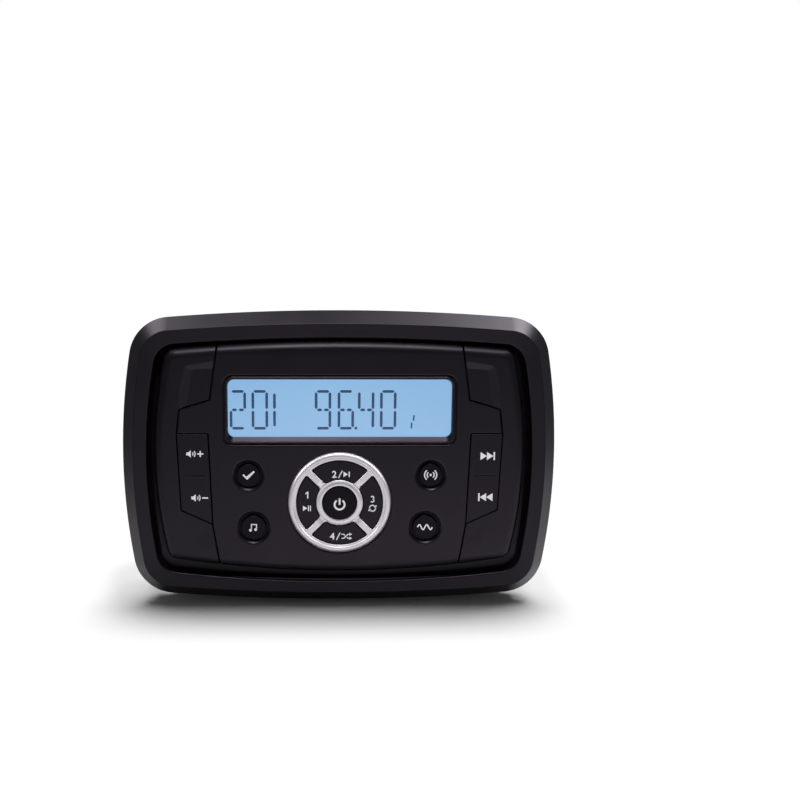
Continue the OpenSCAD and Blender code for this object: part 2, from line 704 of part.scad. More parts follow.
module window_cut() {
    deep = 1.6;
    translate([0, 0, window_z]) forward(face_back_d - 1, face_d + 1)
        rounded(window_w, window_h, window_r);
    hull() {
        translate([0, 0, window_z]) forward(face_d - deep, face_d - deep + eps)
            rounded(window_w, window_h, window_r, $fn = 32);
        translate([0, 0, window_z - sill_drop]) forward(face_d, face_d + eps)
            rounded(window_w + 2 * window_chamfer, window_h + window_chamfer + window_sill,
                window_r + window_chamfer / 2, $fn = 32);
    }
}

module trim_peg_points() for (z = [-34, 0, 34])
    translate([side_x(inset(face, face_wall / 2), z), 0, z]) children();

module trim() {
    difference() {
        intersection() {
            face_block(-moat_depth);
            forward(-moat_depth - 1, face_d + 1) polygon(grow(trim_poly, -seam_gap / 2));
        }
        forward(-moat_depth - 1, trim_back_d) outline(inset(face, face_wall));
        forward(face_d - pocket_t, face_d + 1) polygon(upper_pocket);
        forward(face_d - pocket_t, face_d + 1) polygon(lower_pocket);
    }
    trim_peg_points() post(0, 0, peg_r - 0.25, moat_depth - 1, moat_depth + plate_t - 0.2);
}
module left_trim() color(plastic) mirror([1, 0, 0]) trim();
module right_trim() color(plastic) trim();

module display_lens() color([0.75, 0.85, 0.95]) translate([0, 0, holder_z])
    forward(lens_low_d, lens_d)
    rounded(holder_in_w - 2 * display_fit, holder_in_h - 2 * display_fit, 1);
module lcd_glass() color(lcd_blue) translate([0, 0, holder_z])
    forward(lcd_low_d, lcd_d)
    rounded(holder_in_w - 2 * display_fit, holder_in_h - 2 * display_fit, 0.6);
module backlight() color("white") translate([0, 0, holder_z])
    forward(front_board_d, lcd_low_d)
    rounded(holder_in_w - 2 * display_fit, holder_in_h - 2 * display_fit, 0.6);
module lcd_holder() color(soft_black) translate([0, 0, holder_z])
    forward(front_board_d, face_back_d) difference() {
        rounded(holder_w, holder_h, 2);
        rounded(holder_in_w, holder_in_h, 1);
    }

// A bar's cross section with its two top corners rounded
module dome_bar(w, h, r) {
    square([w, h - r]);
    translate([r, 0]) square([w - 2 * r, h]);
    for (x = [r, w - r]) translate([x, h - r]) intersection() {
        circle(r);
        translate([-r, 0]) square([2 * r, r]);
    }
}

module control_ring() color(silver) translate([0, 0, ring_z]) {
    spigot_r = ring_in_r + 1.2;
    rotate([90, 0, 0]) {
        rotate_extrude() translate([ring_in_r, face_d])
            dome_bar(ring_r - ring_in_r, ring_rise, 0.9);
        rotate_extrude() translate([ring_in_r, ring_back_d])
            square([spigot_r - ring_in_r, face_d - ring_back_d + 0.2]);
        rotate_extrude() translate([hub_in_r, ring_back_d])
            dome_bar(hub_r - hub_in_r, face_d - ring_back_d + hub_rise, 0.7);
        for (a = [45 : 90 : 315]) rotate([0, 0, a]) translate([hub_r - 0.6, 0, ring_back_d])
            rotate([90, 0, 90]) linear_extrude(ring_in_r - hub_r + 1.4)
            translate([-spoke_w / 2, 0]) dome_bar(spoke_w, face_d - ring_back_d + hub_rise, 0.7);
    }
}

// Every place on the front board that a key presses
preset_r = (hub_r + ring_in_r) / 2;
press_points = concat(
    [for (x = [-1, 1]) [x * upper_key_x, upper_key_z]],
    [for (x = [-1, 1]) [x * lower_key_x, lower_key_z]],
    [for (a = [0 : 90 : 270]) [preset_r * cos(a), ring_z + preset_r * sin(a)]],
    [[0, ring_z]],
    [for (x = [-1, 1], s = [-1, 1]) [x * rocker_foot_x, pivot_z + s * foot_reach]]);

module keypad_mat() color(soft_black) difference() {
    union() {
        forward(front_board_d, front_board_d + mat_t) {
            intersection() {
                rounded(front_board_w - 2, front_board_h - 2, front_board_r - 1);
                translate([-front_board_w / 2, -front_board_h / 2 - 1])
                    square([front_board_w, holder_z - holder_h / 2 + front_board_h / 2 - 0.4]);
            }
            for (x = [-1, 1]) translate([x * (front_board_w / 4 + holder_w / 4 - 0.2), 0])
                square([front_board_w / 2 - holder_w / 2 - 1.4, 28], center = true);
        }
        for (p = press_points) post(p[0], p[1], dome_r, -dome_d, -front_board_d);
    }
    for (p = press_points) post(p[0], p[1], dome_r - 0.4, -dome_d + 0.3, 0);
    both_sides() for (p = boss_points) post(p[0], p[1], boss_r + 0.2, -dome_d, 0);
}

module front_board() color(board_green) difference() {
    forward(front_board_d - board_t, front_board_d)
        rounded(front_board_w, front_board_h, front_board_r);
    both_sides() for (p = boss_points) post(p[0], p[1], screw_r + 0.1, -front_board_d - 1, 2);
}

module tact_switches() color(steel) for (p = press_points) {
    translate([p[0], 0, p[1]]) forward(front_board_d, front_board_d + 0.5)
        square(switch_w, center = true);
    post(p[0], p[1], 1, -dome_d + 0.35, -front_board_d - 0.5 + eps);
}

module board_link() color("white") translate([link_place[0], 0, link_place[1]]) {
    behind(board_t - front_board_d, board_t - front_board_d + link_size[2])
        square([link_size[0], link_size[1]], center = true);
    behind(board_t - front_board_d + link_size[2] - eps, main_board_y - link_size[2] + eps)
        square([link_size[0] - 4, 0.5], center = true);
    behind(main_board_y - link_size[2], main_board_y)
        square([link_size[0], link_size[1]], center = true);
}

module main_board() color(board_green) difference() {
    behind(main_board_y, main_board_y + board_t) rounded(main_board_w, main_board_h, 2);
    both_sides() for (p = post_points) post(p[0], p[1], screw_r + 0.1, main_board_y - 1, main_board_y + 3);
}

module amplifier_chip() color(soft_black) {
    top_y = body_depth - body_wall - 0.4;
    translate([0, 0, chip_z]) behind(top_y - chip_t, top_y) square([chip_w, chip_h], center = true);
    for (i = [-6 : 6]) translate([i * 3, 0, chip_z - chip_h / 2]) {
        translate([-0.4, top_y - 2.8, -2.4]) cube([0.8, 0.8, 2.6]);
        translate([-0.4, main_board_y + board_t, -2.4])
            cube([0.8, top_y - 2.4 - main_board_y - board_t, 0.8]);
    }
}

module capacitors() color([0.15, 0.2, 0.4]) for (p = capacitor_points)
    translate([p[0] * main_board_w, 0, p[1] * main_board_h]) difference() {
        post(0, 0, capacitor_r, main_board_y - capacitor_len, main_board_y);
        translate([0, main_board_y - 2.6, 0]) rotate([90, 0, 0])
            rotate_extrude() translate([capacitor_r + 0.3, 0]) circle(0.6, $fn = 24);
    }

module tuner_module() color(steel) translate([tuner_place[0], 0, tuner_place[1]]) difference() {
    behind(main_board_y - tuner_size[2], main_board_y) rounded(tuner_size[0], tuner_size[1], 1.5);
    behind(main_board_y - tuner_size[2] - 1, main_board_y - tuner_size[2] + 0.4)
        rounded(tuner_size[0] - 8, tuner_size[1] - 8, 1);
}

module bluetooth_board() color([0.1, 0.2, 0.5]) translate([radio_place[0], 0, radio_place[1]]) {
    top = main_board_y - radio_lift - radio_size[2];
    behind(top, main_board_y - radio_lift) square([radio_size[0], radio_size[1]], center = true);
    behind(top - 2, top + eps) square(radio_size[1] - 4, center = true);
    for (i = [-4 : 4]) translate([i * pin_pitch, 0, 1 - radio_size[1] / 2])
        behind(main_board_y - radio_lift - eps, main_board_y) square(pin_w, center = true);
}

module heat_sink() color(soft_black) translate([0, 0, sink_z]) difference() {
    union() {
        behind(body_depth, body_depth + sink_t) rounded(sink_w, sink_h, 2);
        behind(body_depth - body_wall - 0.4, body_depth + eps) rounded(pad_w, pad_h, 1.6);
        for (i = [0 : fin_count - 1]) {
            x = (i / (fin_count - 1) - 0.5) * (sink_w - fin_t - 1);
            trimmed = abs(x) > sink_w / 2 - 9 ? 16 : 0;
            translate([x, 0, 0]) behind(body_depth + sink_t - eps, body_depth + sink_t + fin_len)
                square([fin_t, sink_h - 2 - trimmed], center = true);
        }
    }
    four_ways() post(sink_screw[0], sink_screw[1], screw_r + 0.2, body_depth - 1,
        body_depth + sink_t + 1);
}

module screw(r, length) {
    post(0, 0, r, -length, eps);
    difference() {
        post(0, 0, 2 * r, 0, head_t);
        for (a = [0, 90]) translate([0, head_t, 0]) rotate([0, a, 0])
            cube(cross_slot, center = true);
    }
}
module heat_sink_screws() color(steel) translate([0, body_depth + sink_t, sink_z]) four_ways()
    translate([sink_screw[0], 0, sink_screw[1]]) screw(screw_r, sink_t + body_wall);
module front_screws() color(steel) translate([0, tub_depth, 0]) {
    four_ways() translate([side_screw[0], 0, side_screw[1]]) screw(screw_r, 6.6);
    four_ways() translate([top_screw[0], 0, top_screw[1]]) screw(screw_r, 6.6);
}
module board_screws() color(steel) {
    both_sides() for (p = boss_points) translate([p[0], board_t - front_board_d, p[1]])
        screw(screw_r - 0.3, 5);
    both_sides() for (p = post_points) translate([p[0], main_board_y, p[1]])
        mirror([0, 1, 0]) screw(screw_r, 6);
}

module housing_seal() color(soft_black) behind(moat_depth + plate_t + 0.1, tub_depth - tub_wall - 0.1)
    difference() {
        rounded(body_w - 1, body_h - 1, body_corner);
        rounded(body_w - 4.2, body_h - 4.2, body_corner - 1.6);
    }

module dash_gasket() color([0.08, 0.08, 0.08]) forward(-gasket_proud, gasket_groove) difference() {
    outline(inset(rim, flange_in + 0.6));
    outline(inset(rim, tub_in - 0.2));
}

module antenna_socket() color(steel) translate([antenna_x, 0, socket_z]) {
    mouth = body_depth + 2 + antenna_bore_len;
    difference() {
        union() {
            post(0, 0, antenna_bore_r + antenna_wall + 2, body_depth, body_depth + 1.6);
            post(0, 0, antenna_bore_r + antenna_wall, body_depth + 1.6 - eps, mouth);
            post(0, 0, antenna_bore_r, body_depth - body_wall - 3, body_depth + eps);
        }
        post(0, 0, antenna_bore_r, mouth - antenna_bore_len, mouth + 1);
        post(0, 0, 1.4, body_depth - 2, mouth);
    }
}

module harness_socket() color([0.85, 0.85, 0.82]) translate([harness_x, 0, socket_z]) {
    mouth = body_depth + harness_depth - 4;
    difference() {
        union() {
            behind(mouth - harness_depth - 2, mouth)
                rounded(harness_w + 2 * harness_wall, harness_h + 2 * harness_wall, 1.5);
            behind(body_depth, body_depth + 1.4)
                rounded(harness_w + 4 * harness_wall, harness_h + 4 * harness_wall, 2);
        }
        behind(mouth - harness_depth, mouth + 1) rounded(harness_w, harness_h, 0.8);
        translate([0, 0, harness_h / 2]) behind(mouth - 6, mouth + 1) square([6, 5], center = true);
    }
    for (i = [-3.5 : 3.5], j = [-1, 1]) translate([i * 2.6, 0, j * 2.2])
        behind(mouth - harness_depth - 3, mouth - harness_depth + pin_len) square(0.7, center = true);
}

module rca_sockets() color(steel) jack_points() difference() {
    union() {
        post(0, 0, jack_r + 1.6, body_depth, body_depth + 1.5);
        post(0, 0, jack_r, body_depth - body_wall - 2, body_depth + 1.5 + jack_len);
    }
    post(0, 0, 1.7, body_depth, body_depth + 1.5 + jack_len + 1);
}

module mounting_studs() color(steel) both_sides() {
    head_y = body_depth - body_wall;
    post(stud_x, 0, stud_r, head_y - 1, stud_end - 0.6);
    translate([stud_x, stud_end - 0.6, 0]) rotate([-90, 0, 0])
        cylinder(r1 = stud_r, r2 = stud_r - 0.6, h = 0.6);
    translate([stud_x, head_y - 3, 0]) rotate([-90, 0, 0]) cylinder(r = 2 * stud_r, h = 3, $fn = 6);
}

// The strap's shape seen from above, bent to a U with feet turned outwards
module strap_half() {
    inner = strap_bend - strap_t;
    square_y = strap_y + strap_t;
    translate([0, strap_y]) square([leg_x + strap_t - strap_bend, strap_t]);
    translate([leg_x + strap_t - strap_bend, square_y - strap_bend]) intersection() {
        ring2d(strap_bend, inner);
        square(strap_bend);
    }
    translate([leg_x, foot_y + strap_t]) square([strap_t, square_y - strap_bend - foot_y - strap_t]);
    translate([leg_x, foot_y]) square([strap_t + foot_len, strap_t]);
}

module clamp_bracket() color(steel) difference() {
    translate([0, 0, -strap_w / 2]) linear_extrude(strap_w) {
        strap_half();
        mirror([1, 0]) strap_half();
    }
    both_sides() post(stud_x, 0, stud_r + strap_fit, strap_y - 1, strap_y + strap_t + 1);
}
module bracket_pads() color(soft_black) both_sides()
    translate([leg_x + 0.2, pad_y, -strap_w / 2 + 0.5]) cube([strap_t + foot_len - 0.4, pad_t, strap_w - 1]);
module stud_washers() color(steel) both_sides() difference() {
    post(stud_x, 0, stud_r * 2.4, strap_y + strap_t, strap_y + strap_t + washer_t);
    post(stud_x, 0, stud_r + strap_fit, strap_y, strap_y + strap_t + washer_t + 1);
}

module wing_nut() color(steel) difference() {
    union() {
        post(stud_x, 0, nut_r, nut_y, nut_y + nut_len);
        translate([stud_x, nut_y + 3, 0]) wings();
    }
    post(stud_x, 0, stud_r + nut_fit, nut_y - 1, nut_y + nut_len + 6);
}
module wings() for (s = [0, 180]) rotate([0, s, 0]) translate([0, 0, -wing_t / 2])
    linear_extrude(wing_t) {
        polygon([[nut_r - 1, -nut_len * 0.34], [wing_reach - wing_r, nut_len * 0.28],
            [wing_reach - wing_r, nut_len * 1.2], [wing_reach - 1.5 * wing_r, nut_len],
            [nut_r - 1, nut_len * 0.48]]);
        translate([wing_reach - wing_r, nut_len * 0.74]) circle(wing_r);
    }
wing_t = 2;
wing_r = wing_reach * 0.254;
module wing_nut_right() wing_nut();
module wing_nut_left() mirror([1, 0, 0]) wing_nut();

module round_key(x, z, r, hole_r) color(key_plastic) {
    post(x, z, r, -face_d + key_sink, -lip_d + eps);
    post(x, z, hole_r + lip_reach, -lip_d, -lip_d + lip_t);
    post(x, z, stem_r, -lip_d + lip_t - eps, -foot_d);
}
module select_key() round_key(-upper_key_x, upper_key_z, upper_key_r, upper_hole_r);
module mode_key() round_key(-lower_key_x, lower_key_z, lower_key_r, lower_hole_r);
module scan_key() round_key(upper_key_x, upper_key_z, upper_key_r, upper_hole_r);
module band_key() round_key(lower_key_x, lower_key_z, lower_key_r, lower_hole_r);

module power_key() color(key_plastic) {
    post(0, ring_z, hub_in_r - ring_key_gap, -face_d - preset_rise, -ring_lip_d + eps);
    post(0, ring_z, hub_in_r + lip_reach, -ring_lip_d, -ring_lip_d + lip_t);
    post(0, ring_z, stem_r, -ring_lip_d + lip_t - eps, -foot_d);
}

// One window of the ring between two spokes, drawn in by the gap, with rounded corners
module sector(angle) polygon([[0, 0], [far, far * tan(angle)], [far, -far * tan(angle)]]);
module preset_window(gap) {
    c = preset_corner;
    edge = spoke_w / 2 + gap;
    r1 = ring_in_r - gap;
    r2 = hub_r + gap;
    a1 = 45 - asin((edge + c) / (r1 - c));
    a2 = 45 - asin((edge + c) / (r2 + c));
    intersection() {
        ring2d(r1 - c, r2 + c);
        translate([edge * sqrt(2), 0]) sector(45);
    }
    intersection() {
        ring2d(r1, preset_r);
        sector(a1);
    }
    intersection() {
        ring2d(preset_r + touch, r2);
        sector(a2);
    }
    for (s = [-1, 1]) {
        rotate(s * a1) translate([r1 - c, 0]) circle(c);
        rotate(s * a2) translate([r2 + c, 0]) circle(c);
    }
}
module preset_key(a) color(key_plastic) translate([0, 0, ring_z]) rotate([0, -a, 0]) {
    forward(ring_lip_d - eps, face_d + preset_rise) preset_window(ring_key_gap);
    forward(ring_lip_d - lip_t, ring_lip_d) preset_window(ring_key_gap - lip_reach);
    post(preset_r, 0, stem_r, -ring_lip_d + lip_t - eps, -foot_d);
}
module preset_key_1() preset_key(180);
module preset_key_2() preset_key(90);
module preset_key_3() preset_key(0);
module preset_key_4() preset_key(270);

module rocker() color(key_plastic) difference() {
    union() {
        forward(face_d - rocker_t, face_d) polygon(grow(rocker_poly, -rocker_gap / 2));
        translate([pivot_in_x, -face_d + rocker_t - eps, pivot_z - 2])
            cube([pivot_out_x - pivot_in_x, face_d - rocker_t - pivot_d + 1.2, 4]);
        translate([pivot_in_x - pivot_len, -pivot_d, pivot_z]) rotate([0, 90, 0])
            cylinder(r = pivot_r, h = pivot_out_x - pivot_in_x + 2 * pivot_len);
        for (s = [-1, 1]) post(rocker_foot_x, pivot_z + s * foot_reach, stem_r - 0.4,
            -face_d + rocker_t - eps, -foot_d);
    }
    translate([pivot_in_x + 2, -face_d - 1, pivot_z - 0.25])
        cube([pivot_out_x - pivot_in_x - 4, 1.4, 0.5]);
}
module volume_rocker() mirror([1, 0, 0]) rocker();
module track_rocker() rocker();

rear_housing();
bezel();
face_panel();
left_trim();
right_trim();
display_lens();
lcd_glass();
backlight();
lcd_holder();
control_ring();
keypad_mat();
front_board();
tact_switches();
board_link();
main_board();
amplifier_chip();
capacitors();
tuner_module();
bluetooth_board();
heat_sink();
heat_sink_screws();
board_screws();
front_screws();
housing_seal();
dash_gasket();
antenna_socket();
harness_socket();
rca_sockets();
mounting_studs();
clamp_bracket();
bracket_pads();
stud_washers();
wing_nut_left();
wing_nut_right();
select_key();
mode_key();
scan_key();
band_key();
preset_key_1();
preset_key_2();
preset_key_3();
preset_key_4();
power_key();
volume_rocker();
track_rocker();
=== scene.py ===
import json
import math
import bmesh
import bpy
from mathutils import Matrix, Vector

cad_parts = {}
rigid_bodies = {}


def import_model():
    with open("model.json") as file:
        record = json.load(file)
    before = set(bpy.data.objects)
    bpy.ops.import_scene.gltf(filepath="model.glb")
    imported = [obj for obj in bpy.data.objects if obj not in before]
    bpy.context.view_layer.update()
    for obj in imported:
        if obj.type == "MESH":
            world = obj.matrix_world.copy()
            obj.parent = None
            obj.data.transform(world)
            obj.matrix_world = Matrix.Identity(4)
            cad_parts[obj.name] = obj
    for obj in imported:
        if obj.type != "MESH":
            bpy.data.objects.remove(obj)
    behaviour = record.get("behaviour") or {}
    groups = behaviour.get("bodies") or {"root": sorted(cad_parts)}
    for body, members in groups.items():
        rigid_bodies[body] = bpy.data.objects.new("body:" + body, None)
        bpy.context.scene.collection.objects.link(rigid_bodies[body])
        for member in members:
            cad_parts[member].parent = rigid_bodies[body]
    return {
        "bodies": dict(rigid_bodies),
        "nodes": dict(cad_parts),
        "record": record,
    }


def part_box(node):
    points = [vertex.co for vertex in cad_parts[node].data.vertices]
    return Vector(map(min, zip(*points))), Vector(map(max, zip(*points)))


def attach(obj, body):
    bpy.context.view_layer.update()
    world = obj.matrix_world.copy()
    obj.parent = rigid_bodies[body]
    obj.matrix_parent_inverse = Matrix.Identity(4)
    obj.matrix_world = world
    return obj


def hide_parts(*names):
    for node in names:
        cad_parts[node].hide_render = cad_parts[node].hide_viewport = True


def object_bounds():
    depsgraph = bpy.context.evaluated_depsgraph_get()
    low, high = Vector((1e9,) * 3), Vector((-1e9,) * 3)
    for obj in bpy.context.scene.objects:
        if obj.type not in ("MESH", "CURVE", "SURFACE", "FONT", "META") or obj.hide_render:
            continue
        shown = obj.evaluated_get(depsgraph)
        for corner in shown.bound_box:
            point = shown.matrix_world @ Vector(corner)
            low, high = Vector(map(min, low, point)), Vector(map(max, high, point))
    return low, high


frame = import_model()
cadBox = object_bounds()
bpy.context.scene.view_settings.view_transform = "Standard"


# materials
def linear(hexCode):  # sRGB hex to linear colour
    parts = [int(hexCode[i:i + 2], 16) / 255 for i in (1, 3, 5)]
    return tuple(c / 12.92 if c <= 0.04045 else ((c + 0.055) / 1.055) ** 2.4 for c in parts) + (1,)


def addNode(tree, kind, values=None, links=None):  # one node with its settings and its links
    node = tree.nodes.new(kind)
    for key, value in (values or {}).items():
        if isinstance(key, int) or key in node.inputs:
            node.inputs[key].default_value = value
        else:
            setattr(node, key, value)
    for key, socket in (links or {}).items():
        tree.links.new(socket, node.inputs[key])
    return node


# every finish has a fine grain raised as bump and a broad drift of colour and roughness, sizes in mm
def surface(name, dark, light, smoothest, roughest, grainSize, grainHeight, driftSize=22, metallic=0.0,
        ior=1.5, stretch=(1, 1, 1), gloss=0.5, tint="#FFFFFF"):
    material = bpy.data.materials.new(name)
    material.use_nodes = True
    tree = material.node_tree
    shader = tree.nodes["Principled BSDF"]
    shader.inputs["Metallic"].default_value = metallic
    if metallic == 0:
        shader.inputs["IOR"].default_value = ior
        shader.inputs["Specular IOR Level"].default_value = gloss
        shader.inputs["Specular Tint"].default_value = linear(tint)
    place = addNode(tree, "ShaderNodeTexCoord").outputs["Object"]
    drift = addNode(tree, "ShaderNodeTexNoise", {"Scale": 1000 / driftSize, "Detail": 1}, {"Vector": place})
    colour = addNode(tree, "ShaderNodeMix", {"data_type": "RGBA", 6: linear(dark), 7: linear(light)},
        {0: drift.outputs["Fac"]})
    polish = addNode(tree, "ShaderNodeMapRange", {"From Min": 0.3, "From Max": 0.7, "To Min": smoothest,
        "To Max": roughest}, {"Value": drift.outputs["Fac"]})
    drawn = addNode(tree, "ShaderNodeMapping", {"Scale": stretch}, {"Vector": place})
    grain = addNode(tree, "ShaderNodeTexNoise", {"Scale": 1000 / grainSize, "Detail": 2},
        {"Vector": drawn.outputs[0]})
    bump = addNode(tree, "ShaderNodeBump", {"Distance": grainHeight / 1000}, {"Height": grain.outputs["Fac"]})
    tree.links.new(colour.outputs[2], shader.inputs["Base Color"])
    tree.links.new(polish.outputs[0], shader.inputs["Roughness"])
    tree.links.new(bump.outputs[0], shader.inputs["Normal"])
    return material


finishes = {
    # spark eroded ABS moulding: even satin black that greys softly where it turns to the light
    "satin_black_plastic": surface("sparkErodedAbs", "#0B0A0D", "#0D0B0F", 0.32, 0.38, 0.35, 0.006,
        gloss=0.3, tint="#F7E7FF"),
    # smoother ABS of the keys: a little darker and tighter in its sheen
    "key_plastic": surface("smoothSatinAbs", "#0A080C", "#0C0A0E", 0.34, 0.4, 0.3, 0.003,
        gloss=0.28, tint="#F7E7FF"),
    # plain moulded ABS of hidden frames: dull black
    "black_plastic": surface("matBlackAbs", "#0C0C0D", "#111112", 0.5, 0.6, 0.4, 0.01),
    # silicone of the key mat: soft matt dark grey
    "key_rubber": surface("siliconeRubber", "#1A1A1B", "#222223", 0.6, 0.7, 0.6, 0.01, ior=1.41),
    # moulded nitrile rubber: dusty matt black
    "seal_rubber": surface("mouldedNitrileRubber", "#111111", "#181817", 0.62, 0.72, 0.5, 0.02, ior=1.52),
    # closed cell foam: open pores of about a millimetre, no sheen
    "foam_gasket": surface("closedCellFoam", "#131313", "#1E1E1F", 0.8, 0.9, 0.8, 0.12, ior=1.45),
    # natural nylon mouldings: warm white, slightly waxy
    "white_nylon": surface("naturalNylon", "#D2CFC2", "#DEDBCE", 0.45, 0.55, 0.5, 0.01, ior=1.53),
    # the same nylon with a coarser tool: a touch duller
    "board_connector": surface("nylonConnector", "#D2CFC2", "#DEDBCE", 0.5, 0.6, 0.5, 0.01, ior=1.53),
    # milky polycarbonate that carries the light: clean white
    "light_guide": surface("milkyPolycarbonate", "#E4E8EA", "#F0F2F3", 0.3, 0.4, 0.5, 0.002, ior=1.58),
    # solder mask over copper: glossy deep green with faint waviness
    "circuit_board": surface("solderMaskBoard", "#0C3A22", "#15492C", 0.3, 0.4, 0.9, 0.02),
    # moulded epoxy package: matt charcoal
    "chip_plastic": surface("epoxyMouldedPackage", "#161617", "#1E1E1F", 0.55, 0.65, 0.25, 0.01),
    # shrunk sleeve: shiny dark blue
    "capacitor_sleeve": surface("shrinkSleeve", "#121A3C", "#1A2450", 0.25, 0.32, 3.0, 0.02),
    # silver paint with a satin lacquer: bright and soft, metal with a little milkiness
    "satin_silver": surface("satinSilverPaint", "#D3CDD6", "#DBD5DD", 0.36, 0.44, 0.2, 0.003, 14, 0.85),
    # stamped steel of the switches: grey with rolling marks
    "switch_metal": surface("stampedSteel", "#A9AAAC", "#B7B8BA", 0.35, 0.45, 0.3, 0.004, 14, 1.0),
    # tinned steel can: mottled where the tin has set
    "shield_steel": surface("tinnedSteel", "#B4B3AC", "#C3C2BB", 0.3, 0.42, 1.2, 0.01, 6, 1.0),
    # black anodised aluminium: dark metal with a silky sheen
    "black_aluminium": surface("blackAnodisedAluminium", "#1B1B1D", "#232326", 0.38, 0.46, 0.25, 0.006,
        14, 1.0),
    # brushed stainless steel: fine lines along X, drawn coarser than the real 0.05 mm
    "stainless_steel": surface("brushedStainlessSteel", "#A8A7A4", "#BBBAB6", 0.28, 0.38, 0.25, 0.006,
        14, 1.0, stretch=(0.05, 1, 1)),
    # nickel plate on brass: warm and clear
    "nickel_plate": surface("nickelPlatedBrass", "#B9B5AB", "#C9C5BA", 0.18, 0.26, 0.5, 0.002, 14, 1.0),
    # display glass in front of a blue light: its own light, a touch weaker at the ends
    "display_glass": surface("backlitDisplayGlass", "#10151A", "#12181E", 0.3, 0.36, 0.5, 0.0005, ior=1.52),
    # acrylic with a coating against glare: clear, with a faint waviness
    "clear_window": surface("coatedAcrylic", "#F4F9FC", "#F6FAFD", 0.0, 0.03, 6, 0.002, ior=1.49,
        gloss=0.2),
}
# white resin that shows through the keys' etched paint
legendWhite = surface("etchedWhiteLegend", "#D2D0D3", "#DEDCDF", 0.45, 0.55, 0.4, 0.002)
# painted shade: the round keys' tops take a darker, less glossy copy of the key plastic, standing in for the
# darker part of the room they face
shadedKeyPlastic = surface("shadedSatinAbs", "#08070A", "#0A090C", 0.34, 0.4, 0.3, 0.003,
    gloss=0.14, tint="#F7E7FF")
# switched liquid crystal: navy, with the light of the display behind it
segmentInk = surface("darkDisplaySegment", "#06142C", "#081A36", 0.4, 0.45, 0.4, 0.0005, gloss=0.2)
segmentShader = segmentInk.node_tree.nodes["Principled BSDF"]
segmentShader.inputs["Emission Color"].default_value = linear("#12406E")  # the little light it lets through
segmentShader.inputs["Emission Strength"].default_value = 0.8
# seamless paper: matt, nearly white
paper = surface("matPaperSweep", "#F1F1F1", "#F5F5F5", 0.85, 0.95, 3, 0.02, 400)

# the display's own light weakens towards its ends, metres
glow = {"centre": "#93BEE6", "ends": "#8DB9E2", "height": 0.0235, "reach": 0.06}
litTree = finishes["display_glass"].node_tree
litShader = litTree.nodes["Principled BSDF"]
litPlace = addNode(litTree, "ShaderNodeTexCoord").outputs["Object"]
litOffset = addNode(litTree, "ShaderNodeMapping", {"Location": (0, 0, -glow["height"])}, {"Vector": litPlace})
litDistance = addNode(litTree, "ShaderNodeVectorMath", {"operation": "LENGTH"}, {0: litOffset.outputs[0]})
litFade = addNode(litTree, "ShaderNodeMapRange", {"From Max": glow["reach"]},
    {"Value": litDistance.outputs["Value"]})
litMix = addNode(litTree, "ShaderNodeMix", {"data_type": "RGBA", 6: linear(glow["centre"]),
    7: linear(glow["ends"])}, {0: litFade.outputs[0]})
litTree.links.new(litMix.outputs[2], litShader.inputs["Emission Color"])
litShader.inputs["Emission Strength"].default_value = 1.0
clearShader = finishes["clear_window"].node_tree.nodes["Principled BSDF"]
clearShader.inputs["Transmission Weight"].default_value = 1.0

for part in frame["record"]["subparts"]:
    skin = frame["nodes"][part["node"]].data.materials
    skin.clear()
    skin.append(finishes[part["material_slot"]])
print("materials ready")

# camera, lights and floor: degrees, metres, and millimetres for the lens
cameraPlace = {"azimuth": -1.304, "elevation": 12.0, "distance": 0.63575, "roll": 0.223,
    "lens": 66.29, "sensor": 36, "shiftX": 0.07594, "shiftY": 0.0716, "nearest": 0.01}


def addCamera(sizes):
    turn, tilt, roll = [math.radians(sizes[k]) for k in ("azimuth", "elevation", "roll")]
    back = Vector((math.sin(turn) * math.cos(tilt), -math.cos(turn) * math.cos(tilt), math.sin(tilt)))
    right = (-back).cross(Vector((0, 0, 1))).normalized()
    up = right.cross(-back)
    across = right * math.cos(roll) + up * math.sin(roll)
    upright = up * math.cos(roll) - right * math.sin(roll)
    bpy.ops.object.camera_add(location=back * sizes["distance"])
    camera = bpy.context.object
    camera.rotation_euler = Matrix((across, upright, back)).transposed().to_euler()
    camera.data.lens = sizes["lens"]
    camera.data.sensor_width = sizes["sensor"]
    camera.data.shift_x = sizes["shiftX"]
    camera.data.shift_y = sizes["shiftY"]
    camera.data.clip_start = sizes["nearest"]
    bpy.context.scene.camera = camera


def addSoftbox(name, place, size, power):  # a square area lamp aimed at the middle of the part
    bpy.ops.object.light_add(type="AREA", location=place)
    lamp = bpy.context.object
    lamp.name = name
    lamp.rotation_euler = (-Vector(place)).to_track_quat("-Z", "Y").to_euler()
    lamp.data.size = size
    lamp.data.energy = power


addCamera(cameraPlace)
softboxes = {"leftOverheadSoftbox": ((-0.75, 0.35, 1.3), 0.8, 13),
    "rightOverheadSoftbox": ((0.75, 0.35, 1.3), 0.8, 27),
    "frontOverheadSoftbox": ((0, -0.45, 1.2), 0.5, 9)}  # place and size in metres, watts
fills = {"leftFill": ((-1.05, -0.43, 0.77), 0.7, 9), "rightFill": ((1.05, -0.43, 0.77), 0.7, 9)}
floorLight = {"tiltBack": -12, "tiltSide": 3, "strength": 6.4, "spread": 26}  # degrees
for name, (place, size, power) in softboxes.items():
    addSoftbox(name, place, size, power)
silverParts = bpy.data.collections.new("silverAndWhiteParts")  # the two fills fall on these alone
floorAlone = bpy.data.collections.new("floorAlone")
for name, (place, size, power) in fills.items():
    addSoftbox(name, place, size, power)
    bpy.context.object.light_linking.receiver_collection = silverParts
allButFrame = bpy.data.collections.new("allButFrame")  # the front frame casts no shadow on the floor
bpy.ops.object.light_add(type="SUN", rotation=(math.radians(floorLight["tiltBack"]),
    math.radians(floorLight["tiltSide"]), 0))
